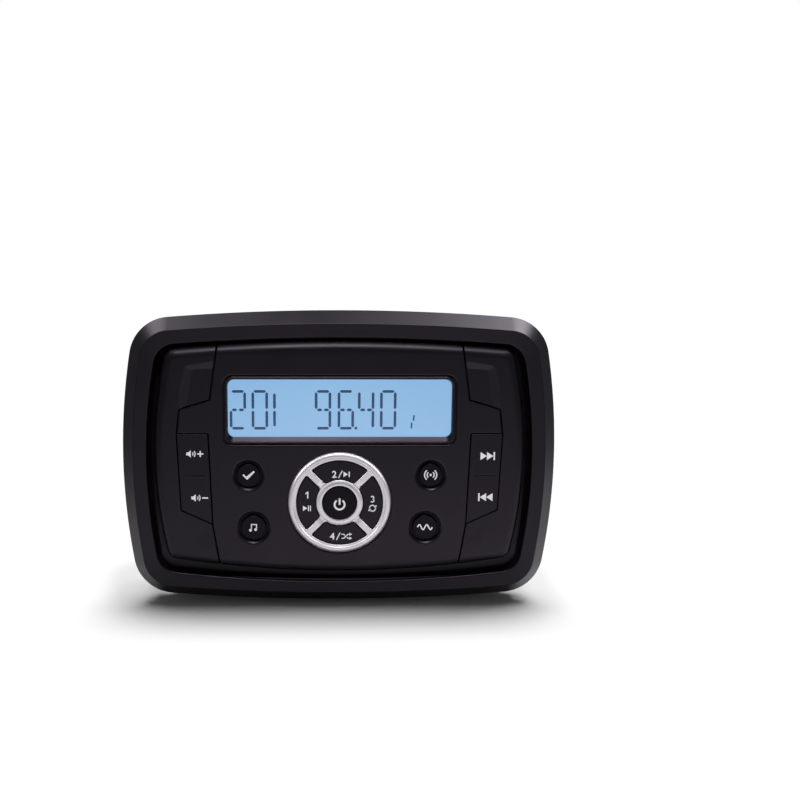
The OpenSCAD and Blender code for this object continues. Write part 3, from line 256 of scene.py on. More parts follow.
sun = bpy.context.object  # it lights the floor alone and casts the shadow there
sun.name = "floorLight"
sun.data.energy = floorLight["strength"]
sun.data.angle = math.radians(floorLight["spread"])
sun.light_linking.receiver_collection = floorAlone
sun.light_linking.blocker_collection = allButFrame

# metres; near, far, spread and shift place the painted pool of light on the paper, which fades away from the
# part
floorSizes = {"reach": 30.0, "gap": 0.0002, "near": 0.08, "far": 0.75, "spread": (1.8, 1, 1),
    "shift": (-0.08, 0, 0)}
bpy.ops.mesh.primitive_plane_add(size=2 * floorSizes["reach"], location=(0, 0, 0))
floor = bpy.context.object
floor.name = "studioFloor"
for vertex in floor.data.vertices:
    vertex.co.z = cadBox[0][2] - floorSizes["gap"]
floor.data.materials.append(paper)
floorAlone.objects.link(floor)
allButFloor = bpy.data.collections.new("allButFloor")
allButFloor.objects.link(floor)
allButFloor.collection_objects[0].light_linking.link_state = "EXCLUDE"
for name in softboxes:
    bpy.data.objects[name].light_linking.receiver_collection = allButFloor

# painted light: what the part mirrors and is lit by is darker than what the camera sees, a world turned down
# and paper with a painted pool of light near the part that fades further out
roomLevels = {"onPart": 0.16, "behindPart": 1.0, "paintedPoolNear": 0.66, "paintedPoolFar": 0.06, "paperSeen": 0.52}
paperTree = paper.node_tree
paperShader = paperTree.nodes["Principled BSDF"]
paperSeen = addNode(paperTree, "ShaderNodeLightPath").outputs["Is Camera Ray"]
paperPlace = addNode(paperTree, "ShaderNodeTexCoord").outputs["Object"]
paperWide = addNode(paperTree, "ShaderNodeMapping", {"Scale": floorSizes["spread"],
    "Location": floorSizes["shift"]}, {"Vector": paperPlace})
paperAway = addNode(paperTree, "ShaderNodeVectorMath", {"operation": "LENGTH"}, {0: paperWide.outputs[0]})
paperPaintedFalloff = addNode(paperTree, "ShaderNodeMapRange", {"From Min": floorSizes["near"],
    "From Max": floorSizes["far"], "To Min": roomLevels["paintedPoolNear"], "To Max": roomLevels["paintedPoolFar"]},
    {"Value": paperAway.outputs["Value"]})
paperLevel = addNode(paperTree, "ShaderNodeMix", {"data_type": "FLOAT", 3: roomLevels["paperSeen"]},
    {0: paperSeen, 2: paperPaintedFalloff.outputs[0]})
# the paper's colour scaled by the painted light level; the camera's rays see it evenly bright
paperPaintedLight = addNode(paperTree, "ShaderNodeVectorMath", {"operation": "SCALE"},
    {0: paperShader.inputs["Base Color"].links[0].from_socket, "Scale": paperLevel.outputs[0]})
paperTree.links.new(paperPaintedLight.outputs[0], paperShader.inputs["Base Color"])

world = bpy.data.worlds.new("paleStudio")
bpy.context.scene.world = world
world.use_nodes = True
sky = world.node_tree.nodes["Background"]
seen = addNode(world.node_tree, "ShaderNodeLightPath").outputs["Is Camera Ray"]
level = addNode(world.node_tree, "ShaderNodeMapRange", {"To Min": roomLevels["onPart"],
    "To Max": roomLevels["behindPart"]}, {"Value": seen})
world.node_tree.links.new(level.outputs[0], sky.inputs["Strength"])
sky.inputs["Color"].default_value = linear("#FFFFFF")
print("stage ready")


# shaping helpers: sizes in mm, places as (x, z) seen from the front, depth forward of the dash
meshLimits = {"weld": 1e-6, "clean": 1e-5, "flat": 0.3, "smooth": 38, "flatWeight": 90}  # metres, degrees


def alone(piece):  # the only selected and active object
    bpy.ops.object.select_all(action="DESELECT")
    bpy.context.view_layer.objects.active = piece
    piece.select_set(True)
    return piece


def openMesh(piece, kind="VERT"):
    alone(piece)
    bpy.ops.object.mode_set(mode="EDIT")
    bpy.ops.mesh.select_mode(type=kind)
    bpy.ops.mesh.select_all(action="SELECT")


def closeMesh(piece):  # merges doubles, turns the faces outwards and leaves edit mode
    bpy.ops.mesh.select_all(action="SELECT")
    bpy.ops.mesh.remove_doubles(threshold=meshLimits["weld"])
    bpy.ops.mesh.normals_make_consistent(inside=False)
    if bmesh.from_edit_mesh(piece.data).calc_volume(signed=True) < 0:
        bpy.ops.mesh.flip_normals()
    bpy.ops.object.mode_set(mode="OBJECT")
    return piece


def startRing(name, count, fill):  # a circle primitive whose points are then moved to their places
    bpy.ops.object.select_all(action="DESELECT")
    bpy.ops.mesh.primitive_circle_add(vertices=count, radius=0.01, fill_type=fill)
    piece = bpy.context.object
    piece.name = name
    return piece


def atDepth(points, depth):
    return [Vector((x, -depth, z)) / 1000 for x, z in points]


# rings of equal length are joined in turn; a closed loft has no ends and returns to its first ring
def loft(name, rings, closed=False):
    piece = startRing(name, len(rings[0]), "NOTHING" if closed else "NGON")
    for vertex, place in zip(piece.data.vertices, rings[0]):
        vertex.co = place
    openMesh(piece, "VERT" if closed else "EDGE")
    shape = bmesh.from_edit_mesh(piece.data)
    order = {tuple(vertex.co): i for i, vertex in enumerate(shape.verts)}
    for ring in rings[1:] + (rings[:1] if closed else []):
        if closed:
            bpy.ops.mesh.extrude_edges_move()
        else:
            bpy.ops.mesh.extrude_region_move()
        shape = bmesh.from_edit_mesh(piece.data)
        fresh = sorted((v for v in shape.verts if v.select), key=lambda v: order[tuple(v.co)])
        for vertex, place in zip(fresh, ring):
            vertex.co = place
        order = {tuple(vertex.co): i for i, vertex in enumerate(fresh)}
        bmesh.update_edit_mesh(piece.data)
    return closeMesh(piece)


def prism(name, points, low, high):
    return loft(name, [atDepth(points, low), atDepth(points, high)])


def turned(name, middle, profile, steps=96):  # (radius, depth) points spun about the line through middle
    piece = startRing(name, len(profile), "NOTHING")
    for vertex, (radius, depth) in zip(piece.data.vertices, profile):
        vertex.co = Vector((middle[0] + radius, -depth, middle[1])) / 1000
    openMesh(piece)
    if profile[0][0] == 0 and profile[-1][0] == 0:  # the edge that lies on the axis goes
        shape = bmesh.from_edit_mesh(piece.data)
        bmesh.ops.delete(shape, geom=[e for e in shape.edges
            if {v.index for v in e.verts} == {0, len(profile) - 1}], context="EDGES")
        bmesh.update_edit_mesh(piece.data)
    bpy.ops.mesh.select_all(action="SELECT")
    bpy.ops.mesh.spin(steps=steps, angle=math.tau, center=(middle[0] / 1000, 0, middle[1] / 1000),
        axis=(0, 1, 0))
    return closeMesh(piece)


def carve(piece, tool, how="DIFFERENCE"):
    alone(piece)
    cut = piece.modifiers.new("cut", "BOOLEAN")
    cut.object = tool
    cut.operation = how
    cut.solver = "EXACT"
    bpy.ops.object.modifier_apply(modifier=cut.name)
    bpy.data.objects.remove(tool)
    return piece


# sharp edges are rounded, where the test on their middle in mm allows it, and the rest is shaded smooth
def soften(piece, width, angle=30, segments=3, where=None):
    openMesh(piece)
    bpy.ops.mesh.remove_doubles(threshold=meshLimits["clean"])
    bpy.ops.mesh.dissolve_limited(angle_limit=math.radians(meshLimits["flat"]))
    bpy.ops.mesh.select_mode(type="EDGE")
    bpy.ops.mesh.select_all(action="DESELECT")
    shape = bmesh.from_edit_mesh(piece.data)
    for edge in shape.edges:
        sharp = len(edge.link_faces) == 2 and edge.calc_face_angle() > math.radians(angle)
        middle = (edge.verts[0].co + edge.verts[1].co) * 500  # mm
        edge.select = sharp and (where is None or bool(where(middle.x, -middle.y, middle.z)))
    bmesh.update_edit_mesh(piece.data)
    bpy.ops.mesh.bevel(offset=width / 1000, segments=segments, clamp_overlap=False, miter_outer="ARC")
    bpy.ops.mesh.select_mode(type="VERT")
    bpy.ops.mesh.select_all(action="SELECT")
    bpy.ops.mesh.remove_doubles(threshold=meshLimits["weld"])
    bpy.ops.mesh.fill_holes(sides=4)
    closeMesh(piece)
    return shade(piece)


def shade(piece):
    alone(piece)
    bpy.ops.object.shade_smooth_by_angle(angle=math.radians(meshLimits["smooth"]))
    weights = piece.modifiers.new("flatFaces", "WEIGHTED_NORMAL")
    weights.keep_sharp = True
    weights.weight = meshLimits["flatWeight"]
    bpy.ops.object.modifier_apply(modifier=weights.name)
    return piece


def joined(name, pieces):
    bpy.ops.object.select_all(action="DESELECT")
    for piece in pieces:
        piece.select_set(True)
    bpy.context.view_layer.objects.active = pieces[0]
    bpy.ops.object.join()
    pieces[0].name = name
    return pieces[0]


def mirrorCopy(name, piece):
    twin = piece.copy()
    twin.data = piece.data.copy()
    twin.name = name
    bpy.context.collection.objects.link(twin)
    openMesh(twin)
    bpy.ops.transform.mirror(orient_type="GLOBAL", constraint_axis=(True, False, False),
        center_override=(0, 0, 0))
    closeMesh(twin)
    return shade(twin)


def dress(piece, body, slot, *nodes, finish=None):
    piece.data.materials.clear()
    piece.data.materials.append(finish or finishes[slot])
    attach(piece, body)
    if nodes:
        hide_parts(*nodes)
    return piece


def arc(cx, cz, r, start, end, count=8):
    return [(cx + r * math.cos(math.radians(start + (end - start) * i / count)),
        cz + r * math.sin(math.radians(start + (end - start) * i / count))) for i in range(count + 1)]


def filleted(points, radii, count=6):  # corners rounded by their radius, or all by one
    made = []
    for i, corner in enumerate(points):
        radius = radii[i] if isinstance(radii, (list, tuple)) else radii
        if not radius:
            made.append(corner)
            continue
        b = Vector(corner)
        toLast = (Vector(points[i - 1]) - b).normalized()
        toNext = (Vector(points[(i + 1) % len(points)]) - b).normalized()
        half = toLast.angle(toNext) / 2
        centre = b + (toLast + toNext).normalized() * radius / math.sin(half)
        start = b + toLast * radius / math.tan(half) - centre
        end = b + toNext * radius / math.tan(half) - centre
        turn = math.atan2(start.x * end.y - start.y * end.x, start.dot(end))
        base = math.atan2(start.y, start.x)
        made += arc(centre.x, centre.y, radius, math.degrees(base), math.degrees(base + turn), count)
    return made


def box2d(w, h, r, cx=0, cz=0):
    corners = [(cx + w / 2, cz + h / 2), (cx - w / 2, cz + h / 2), (cx - w / 2, cz - h / 2),
        (cx + w / 2, cz - h / 2)]
    return filleted(corners, r)


def grown(points, out):  # every edge of a polygon moved outwards
    area = sum(a[0] * b[1] - b[0] * a[1] for a, b in zip(points, points[1:] + points[:1]))
    side = math.copysign(1, area)
    made = []
    for i, b in enumerate(points):
        a, b, c = Vector(points[i - 1]), Vector(b), Vector(points[(i + 1) % len(points)])
        u = Vector(((b - a).y, -(b - a).x)).normalized() * side
        v = Vector(((c - b).y, -(c - b).x)).normalized() * side
        made.append(tuple(b + out * (u + v) / (1 + u.dot(v))))
    return made


def mirrored(points):
    return [(-x, z) for x, z in reversed(points)]


# an outline is bowed arcs joined by corner circles, its upper and lower halves meet at its middle height;
# a station is a point on it and its outward direction
def outlineOf(half, mid, up, down, sideRadius, topRadius, lowRadius, cornerRadius):
    return {"half": half, "mid": mid, "up": up, "down": down, "sideRadius": sideRadius,
        "topRadius": topRadius, "lowRadius": lowRadius, "cornerRadius": cornerRadius}


def quarter(o, height, topRadius, steps):  # from the middle of a side to the middle of the top
    a, b = o["half"] - o["sideRadius"], height - topRadius
    p, q, d = o["sideRadius"] - o["cornerRadius"], topRadius - o["cornerRadius"], math.hypot(a, b)
    m = (p * p - q * q + d * d) / (2 * d)
    h = math.sqrt(p * p - m * m)
    cx, cz = a - a * m / d - b * h / d, b * m / d - a * h / d
    sideEnd = math.degrees(math.atan2(cz, cx - a))
    topStart = math.degrees(math.atan2(cz - b, cx))
    runs = [(a, 0, o["sideRadius"], 0, sideEnd, steps[0]),
        (cx, cz, o["cornerRadius"], sideEnd, topStart, steps[1]), (0, b, topRadius, topStart, 90, steps[2])]
    made = []
    for x, z, r, start, end, count in runs:
        turns = [math.radians(start + (end - start) * i / count) for i in range(count)]
        made += [(x + r * math.cos(u), z + r * math.sin(u), math.cos(u), math.sin(u)) for u in turns]
    return made + [(0, height, 0, 1)]


def stations(o, steps=(12, 22, 18)):  # steps on a side's half, on a corner and on the half above or below
    upper = quarter(o, o["up"], o["topRadius"], steps)
    lower = quarter(o, o["down"], o["lowRadius"], steps)
    ring = upper[:-1] + [(-x, z, -nx, nz) for x, z, nx, nz in upper[:0:-1]]
    ring += [(-x, -z, -nx, -nz) for x, z, nx, nz in lower[:-1]]
    ring += [(x, -z, nx, -nz) for x, z, nx, nz in lower[:0:-1]]
    return [(x, z + o["mid"], nx, nz) for x, z, nx, nz in ring]


def ringsOn(profile):  # the profile's points are outline, inset and depth
    return [[Vector((x - inset * nx, -depth, z - inset * nz)) / 1000 for x, z, nx, nz in stations(outline)]
        for outline, inset, depth in profile]


def centre(node):  # middle of a CAD node seen from the front
    low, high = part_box(node)
    return ((low[0] + high[0]) * 500, (low[2] + high[2]) * 500)


print("helpers ready")

# front frame: a sloped skirt, a rounded ridge and a band that falls to the dark channel
low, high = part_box("bezel")
halfWide, halfTall = (high[0] - low[0]) * 500, (high[2] - low[2]) * 500
bezelSizes = {"foot": (0, 0, 0.03), "ridge": (5, 7, 0.4), "lip": (10.75, 6.3, 0.8),
    "lipUnder": (10.75, 5.1, 0), "seatTop": (8.9, 5.1, 0), "seatFoot": (8.9, 2, 0), "seat": (8.4, 2, 0),
    "innerRidge": (5.47, 4.22, 0.5), "skirt": (2.46, 0, 0)}  # inset, depth and radius of its section's corners
lipIn = bezelSizes["lip"][0]
rim = outlineOf(halfWide, 0, halfTall, halfTall, 274, 915, 915, 18)
lip = outlineOf(halfWide - lipIn, -0.66, halfTall - 10.48, halfTall - 10.48, 238, 905, 588, 9.2)
profile = filleted([size[:2] for size in bezelSizes.values()], [size[2] for size in bezelSizes.values()])
carried = [(lip, inset - lipIn, depth) if inset > lipIn - 1 else (rim, inset, depth)
    for inset, depth in profile]  # the lip has an outline of its own
bezel = shade(loft("frontFrame", ringsOn(carried), closed=True))
allButFrame.objects.link(dress(bezel, "housing", "satin_black_plastic", "bezel"))
allButFrame.collection_objects[0].light_linking.link_state = "EXCLUDE"
print("front frame ready")

# raised face: a rounded block cut into the middle panel and two side wings
cutSpan = {"back": -6, "inside": 5, "front": 10}  # depths between which the cutting tools run
faceSizes = {"depth": 9, "slopeWide": 4.2, "slopeTall": 4.1, "crest": 3.2, "foot": 1.2, "footDepth": 3.4,
    "wall": 2, "front": 2, "floor": -3, "plate": 2, "seam": 0.5, "softEdge": 0.4, "wingSoftEdge": 0.3}
face = outlineOf(rim["half"] - 15, 2, 48.2, 50.2, 188, 790, 445, 4.5)
seam = {"up": (50.04, 61.44), "mid": (55, 26.4), "arm": (68, 22.4), "down": (49, -60.16)}
rocker = {"in": (55.9, 12), "tip": (54.4, -27.4), "low": (67.7, -21.2), "out": (69.2, 12), "gap": 0.35,
    "depth": 9, "wall": 1.95, "wallBack": 2.7, "wallFront": 6.2}
rockerShape = [rocker["in"], rocker["tip"], rocker["low"], rocker["out"]]
panelSide = [seam["down"], rocker["tip"], rocker["in"], rocker["out"], seam["arm"], seam["mid"], seam["up"]]
wingShape = [seam["up"], seam["mid"], seam["arm"], rocker["out"], rocker["low"], rocker["tip"], seam["down"],
    (100, seam["down"][1]), (100, seam["up"][1])]


def faceBlock(name, backDepth):  # hollow behind its front, open at the back
    sizes = faceSizes
    profile = [(sizes["wall"], sizes["depth"] - sizes["front"]), (sizes["wall"], backDepth),
        (-sizes["foot"], backDepth), (-sizes["foot"], sizes["footDepth"])]
    profile += [(sizes["crest"] - sizes["slopeWide"] * x, sizes["depth"] - sizes["slopeTall"] * (1 - z))
        for x, z in arc(0, 0, 1, 12, 90, 11)]
    return loft(name, ringsOn([(face, inset, depth) for inset, depth in profile]))


def wellWall(name, points, low, high):  # the wall round a rocker
    wall = prism(name, grown(points, rocker["wall"]), low, high)
    return carve(wall, prism("cut", grown(points, rocker["gap"] / 2), low - 1, high + 1))


def seamCut(points):  # keeps what lies within the points, short of half the seam
    return prism("cut", grown(points, -faceSizes["seam"] / 2), cutSpan["back"], cutSpan["front"])


panel = faceBlock("facePanel", faceSizes["floor"] - faceSizes["plate"])
carve(panel, seamCut(panelSide + mirrored(panelSide)), how="INTERSECT")

windowSizes = {"width": 94.8, "height": 24.7, "z": 22.7, "corner": 2.8, "wallDepth": 7.2, "sill": 1.2,
    "bead": 0.62, "beadIn": 0.3, "beadDepth": 8.42, "groove": 8.2, "grooveWide": 0.15, "slope": 2.3}


def windowRing(out, depth, share):  # share 0 is the window itself, share 1 stands lower by the sill
    wide = windowSizes["width"] + 2 * out
    tall = windowSizes["height"] + 2 * out + share * windowSizes["sill"]
    middle = windowSizes["z"] - share * windowSizes["sill"] / 2
    return atDepth(box2d(wide, tall, windowSizes["corner"] + out * 0.6, 0, middle), depth)


beadMiddle = windowSizes["beadIn"] + windowSizes["bead"]
beadArc = arc(beadMiddle, windowSizes["beadDepth"], windowSizes["bead"], 180, 0, 8)
windowTool = [(0, cutSpan["inside"], 0), (0, windowSizes["wallDepth"], 0)]
windowTool += [(out, depth, 1) for out, depth in beadArc]
windowTool += [(beadMiddle + windowSizes["bead"] + windowSizes["grooveWide"], windowSizes["groove"], 1),
    (windowSizes["slope"], faceSizes["depth"], 1), (windowSizes["slope"] + 1, faceSizes["depth"] + 1, 1)]
carve(panel, loft("cut", [windowRing(*place) for place in windowTool]))

keyHoles = {"select_key": 6.05, "mode_key": 6.5, "scan_key": 6.05, "band_key": 6.5}  # radius
holeSlope = 0.8
ringSizes = {"outer": 22, "band": 18.6, "hub": 10, "bore": 7.5, "spoke": 2.8, "bandDepth": 10.3,
    "hubDepth": 10, "spokeDepth": 9.8, "backDepth": 6.8, "skirtDepth": 8.55, "spigot": 19.8,
    "windowRound": 0.8, "filletRound": 1.9, "ledge": 19.15, "moat": 0.4, "seatDepth": 8.5, "spigotGap": 0.2,
    "dome": 1.75, "softEdge": 0.35, "cutBack": 6, "cutFront": 11,
    "hollow": [(9, 9.85), (9.5, 9.62), (9.9, 9.35), (10.3, 9.25), (11, 9.35), (12, 9.55)],  # round the hub
    "rise": [(0.1, 9.78), (0.3, 9.9), (0.55, 10.14), (0.8, 10.24)]}  # past the ledge, up to the band
ringMiddle = centre("control_ring")
for node, hole in keyHoles.items():
    profile = [(0, cutSpan["inside"]), (hole, cutSpan["inside"]), (hole, faceSizes["depth"] - holeSlope),
        (hole + holeSlope, faceSizes["depth"]), (hole + holeSlope, cutSpan["front"]), (0, cutSpan["front"])]
    carve(panel, turned("cut", centre(node), profile, 72))
seat, pocket = ringSizes["spigot"] + ringSizes["spigotGap"], ringSizes["outer"] + ringSizes["moat"]
profile = [(0, cutSpan["inside"]), (seat, cutSpan["inside"]), (seat, ringSizes["seatDepth"]),
    (pocket, ringSizes["seatDepth"]), (pocket, cutSpan["front"]), (0, cutSpan["front"])]
carve(panel, turned("cut", ringMiddle, profile, 120))
soften(panel, faceSizes["softEdge"], where=lambda x, d, z: d > 8.5 or (d > 6 and abs(x) > 48))

# floor of the dark channel: it rises to the front frame's lip, and is open in its middle
plateSizes = {"edge": 10.7, "top": 5, "rise": [(-0.1, 5), (0.1, 4), (0.5, 2.8), (1.2, 1.8), (2, 1.2)],
    "channel": 1, "faceGap": 0.03, "holeWide": 132, "holeTall": 78, "holeRound": 4, "ledgeOut": 1.6,
    "ledgeWide": 0.5, "ledgeBack": 2, "ledgeFront": 6, "ledgeEnd": 50.5}
channelIn, plateBack = -faceSizes["foot"] - plateSizes["faceGap"], faceSizes["floor"] - faceSizes["plate"]
plateRim = [(rim, plateSizes["edge"], plateBack), (rim, plateSizes["edge"], plateSizes["top"])]
plateRim += [(lip, inset, depth) for inset, depth in plateSizes["rise"]]
plateRim += [(face, channelIn, plateSizes["channel"]), (face, channelIn, faceSizes["floor"])]
plate = loft("basePlate", ringsOn(plateRim))
carve(plate, prism("cut", box2d(plateSizes["holeWide"], plateSizes["holeTall"], plateSizes["holeRound"]),
    cutSpan["back"], 0))
topEdge = [place for place in stations(face) if place[1] > 40 and abs(place[0]) < plateSizes["ledgeEnd"]]
innerEdge, outerEdge = [[(x + out * nx, z + out * nz) for x, z, nx, nz in topEdge]
    for out in (plateSizes["ledgeOut"], plateSizes["ledgeOut"] + plateSizes["ledgeWide"])]
plateLedge = prism("ledge", innerEdge + outerEdge[::-1], plateSizes["ledgeBack"], plateSizes["ledgeFront"])
carve(plate, plateLedge, how="UNION")
for side in (rockerShape, mirrored(rockerShape)):
    carve(plate, wellWall("well", side, rocker["wallBack"], rocker["wallFront"]), how="UNION")
openMesh(plate)
closeMesh(plate)  # the cuts leave its faces turned inwards
dress(joined("facePanel", [panel, shade(plate)]), "housing", "satin_black_plastic", "face_panel")
print("face panel ready")

# shallow pockets of the wings, whose sides slope from the floor up to the rim
pocketSizes = {
    "upper": {"deep": 0.9, "floorRound": [0.2, 1.2, 6, 0.2, 0.2], "rimRound": [0.2, 2, 8, 0.2, 0.2],
        "floor": [(50, 40.15), (62.15, 39.5), (63.3, 32.7), (65.8, 20), (50, 20)],
        "rim": [(50, 43.55), (65.1, 41.1), (67.5, 31.4), (68.4, 20), (50, 20)]},
    "lower": {"deep": 0.55, "floorRound": [0.2, 0.2, 0.4, 0.8, 0.2], "rimRound": [0.2, 0.2, 2, 1.2, 0.2],
        "floor": [(50, -24), (50, -36.7), (60.5, -34.4), (62.4, -34), (64.8, -20.5)],
        "rim": [(50, -24), (50, -38.3), (61.5, -37.5), (65.3, -35.2), (68, -20.5)]}}


def pocketTool(sizes):
    slope = [(Vector(b) - Vector(a)) / sizes["deep"] for a, b in zip(sizes["floor"], sizes["rim"])]
    beyond = [tuple(Vector(place) + step) for place, step in zip(sizes["rim"], slope)]
    top = faceSizes["depth"]
    return loft("cut", [atDepth(filleted(sizes["floor"], sizes["floorRound"]), top - sizes["deep"]),
        atDepth(filleted(sizes["rim"], sizes["rimRound"]), top),
        atDepth(filleted(beyond, sizes["rimRound"]), top + 1)])


wing = faceBlock("rightWing", faceSizes["floor"])
carve(wing, seamCut(wingShape), how="INTERSECT")
for sizes in pocketSizes.values():
    carve(wing, pocketTool(sizes))
soften(wing, faceSizes["wingSoftEdge"], 12.5, where=lambda x, d, z: d > 6)
leftWing = mirrorCopy("leftWing", wing)
dress(wing, "housing", "satin_black_plastic", "right_trim")
dress(leftWing, "housing", "satin_black_plastic", "left_trim")
print("side wings ready")


# silver ring with four spokes, each window between them rounded in its corners
def ringWindow(turn):
    outer, inner, half = ringSizes["band"], ringSizes["hub"], ringSizes["spoke"] / 2
    ro, ri = ringSizes["windowRound"], ringSizes["filletRound"]
    a = 45 + math.degrees(math.asin((half + ro) / (outer - ro)))
    b = 45 + math.degrees(math.asin((half + ri) / (inner + ri)))
    outerMiddle = ((outer - ro) * math.cos(math.radians(a)), (outer - ro) * math.sin(math.radians(a)))
    innerMiddle = ((inner + ri) * math.cos(math.radians(b)), (inner + ri) * math.sin(math.radians(b)))
    points = arc(0, 0, outer, 90, a, 12)[:-1] + arc(*outerMiddle, ro, a, -45)
    points += arc(*innerMiddle, ri, -45, b - 180) + arc(0, 0, inner, b, 90, 10)[1:]
    points = points + [(-x, z) for x, z in points[-2:0:-1]]
    s, c = math.sin(math.radians(turn)), math.cos(math.radians(turn))
    return [(ringMiddle[0] + x * c - z * s, ringMiddle[1] + x * s + z * c) for x, z in points]


bore, outer, ledge, dome = [ringSizes[key] for key in ("bore", "outer", "ledge", "dome")]
hubTop, spokeTop = ringSizes["hubDepth"], ringSizes["spokeDepth"]
profile = [(bore, ringSizes["backDepth"]), (bore, hubTop - 0.3), (bore + 0.12, hubTop - 0.08),
    (bore + 0.4, hubTop), (8.4, hubTop - 0.03)] + ringSizes["hollow"]
profile += [(13, spokeTop - 0.1), (ringSizes["band"] - 0.8, spokeTop - 0.08), (ledge - 0.1, spokeTop)]
profile += [(ledge + out, depth) for out, depth in ringSizes["rise"]]
profile += [(outer - dome + x, z) for x, z in arc(0, ringSizes["bandDepth"] - dome, dome, 95, 0, 12)]
profile += [(outer, ringSizes["skirtDepth"]), (ringSizes["spigot"], ringSizes["skirtDepth"]),
    (ringSizes["spigot"], ringSizes["backDepth"])]
controlRing = turned("controlRing", ringMiddle, profile, 144)
for turn in (0, 90, 180, 270):
    carve(controlRing, prism("cut", ringWindow(turn), ringSizes["cutBack"], ringSizes["cutFront"]))
soften(controlRing, ringSizes["softEdge"], 50, 4, where=lambda x, d, z: d > 8.9)
dress(controlRing, "housing", "satin_silver", "control_ring")
silverParts.objects.link(controlRing)
print("control ring ready")


# keys: what lies behind the face keeps the CAD part's shape
def fineCopy(name, node):
    source = frame["nodes"][node]
    piece = source.copy()
    piece.data = source.data.copy()
    piece.parent = None
    piece.name = name
    bpy.context.collection.objects.link(piece)
    openMesh(piece)
    return closeMesh(piece)


# the edges' width in mm, what angle counts as an edge, the bevel's segments and the finish; the round keys and
# the power key take the painted-shade copy of the key plastic
keyEdges = {("select_key", "mode_key", "scan_key", "band_key"): (0.35, 40, 4, shadedKeyPlastic),
    ("preset_key_1", "preset_key_2", "preset_key_3", "preset_key_4"): (0.3, 40, 3, None),
    ("power_key",): (0.3, 40, 3, shadedKeyPlastic), ("volume_rocker", "track_rocker"): (0.25, 30, 3, None)}
for nodes, (width, angle, segments, finish) in keyEdges.items():
    for node in nodes:
        piece = soften(fineCopy(node + "Cap", node), width, angle, segments)
        dress(piece, node, "key_plastic", node, finish=finish)
print("keys ready")

# marks on the keys: generic icons and plain numbers, a little proud of the key
markSizes = {"proud": 0.03, "sunk": 0.02, "digit": 3.0, "bolder": 0.02}


def stroke(points, width):  # a line of even width with square ends
    left, right = [], []
    for i, point in enumerate(points):
        before, after = Vector(points[max(i - 1, 0)]), Vector(points[min(i + 1, len(points) - 1)])
        along = (after - before).normalized()
        across = Vector((-along.y, along.x))
        if 0 < i < len(points) - 1:
            bend = (Vector(point) - before).normalized()
            across = across / max(0.5, along.dot(bend))
        left.append(tuple(Vector(point) + across * width / 2))
        right.append(tuple(Vector(point) - across * width / 2))
    return left + right[::-1]


def disc(cx, cz, r):
    return arc(cx, cz, r, 0, 342, 19)


def bar(left, low, right, high):
    return [(left, low), (right, low), (right, high), (left, high)]


def addMark(name, body, depth, place, shapes, digits=()):
    low, high = depth - markSizes["sunk"], depth + markSizes["proud"]
    parts = [prism(name, [(place[0] + x, place[1] + z) for x, z in shape], low, high) for shape in shapes]
    for text, x, z in digits:
        parts.append(digit(text, place[0] + x, place[1] + z, low, high))
    silverParts.objects.link(dress(joined(name, parts), body, "light_guide", finish=legendWhite))


def digit(text, x, z, low, high):  # the default font's number, moved and sized by its own bounds
    bpy.ops.object.select_all(action="DESELECT")
    bpy.ops.object.text_add()
    bpy.context.object.data.body = text
    bpy.context.object.data.extrude = 0.5
    bpy.context.object.data.offset = markSizes["bolder"]
    bpy.ops.object.convert(target="MESH")
    piece = bpy.context.object
    xs = [v.co.x for v in piece.data.vertices]
    zs = [v.co.y for v in piece.data.vertices]
    size = markSizes["digit"] / (max(zs) - min(zs))
    for v in piece.data.vertices:
        v.co = Vector((x + (v.co.x - (max(xs) + min(xs)) / 2) * size, -high if v.co.z > 0 else -low,
            z + (v.co.y - (max(zs) + min(zs)) / 2) * size)) / 1000
    openMesh(piece)
    return closeMesh(piece)


speaker = [(-1.9, -0.65), (-1.1, -0.65), (0, -1.6), (0, 1.6), (-1.1, 0.65), (-1.9, 0.65)]
waves = [stroke(arc(0, 0, reach, -42, 42, 8), 0.42) for reach in (0.95, 1.85)]
plus = [(-1.3, -0.3), (-0.3, -0.3), (-0.3, -1.3), (0.3, -1.3), (0.3, -0.3), (1.3, -0.3), (1.3, 0.3),
    (0.3, 0.3), (0.3, 1.3), (-0.3, 1.3), (-0.3, 0.3), (-1.3, 0.3)]
note = [stroke([(-1.0, -1.1), (-1.0, 1.5)], 0.4), stroke([(1.2, -0.8), (1.2, 1.5)], 0.4),
    bar(-0.8, 1.05, 1.0, 1.5), disc(-1.4, -1.25, 0.6), disc(0.8, -0.95, 0.6)]


def skip(side):  # two arrowheads and a bar
    arrows = [[(-3.2, 1.75), (-3.2, -1.75), (-0.45, 0)], [(-0.45, 1.75), (-0.45, -1.75), (2.3, 0)],
        bar(2.35, -1.75, 3.0, 1.75)]
    return arrows if side > 0 else [mirrored(shape) for shape in arrows]


def moved(shapes, dx, dz=0):
    return [[(x + dx, z + dz) for x, z in shape] for shape in shapes]


rockerTop = rocker["depth"]
addMark("volumeUpMark", "volume_rocker", rockerTop, (-63.2, 3.4), [speaker] + waves + moved([plus], 4.0))
addMark("volumeDownMark", "volume_rocker", rockerTop, (-61.4, -15.8),
    [speaker] + waves + [bar(2.7, -0.3, 5.3, 0.3)])
addMark("nextMark", "track_rocker", rockerTop, (63.2, 2.4), skip(1))
addMark("previousMark", "track_rocker", rockerTop, (62.4, -15.6), skip(-1))

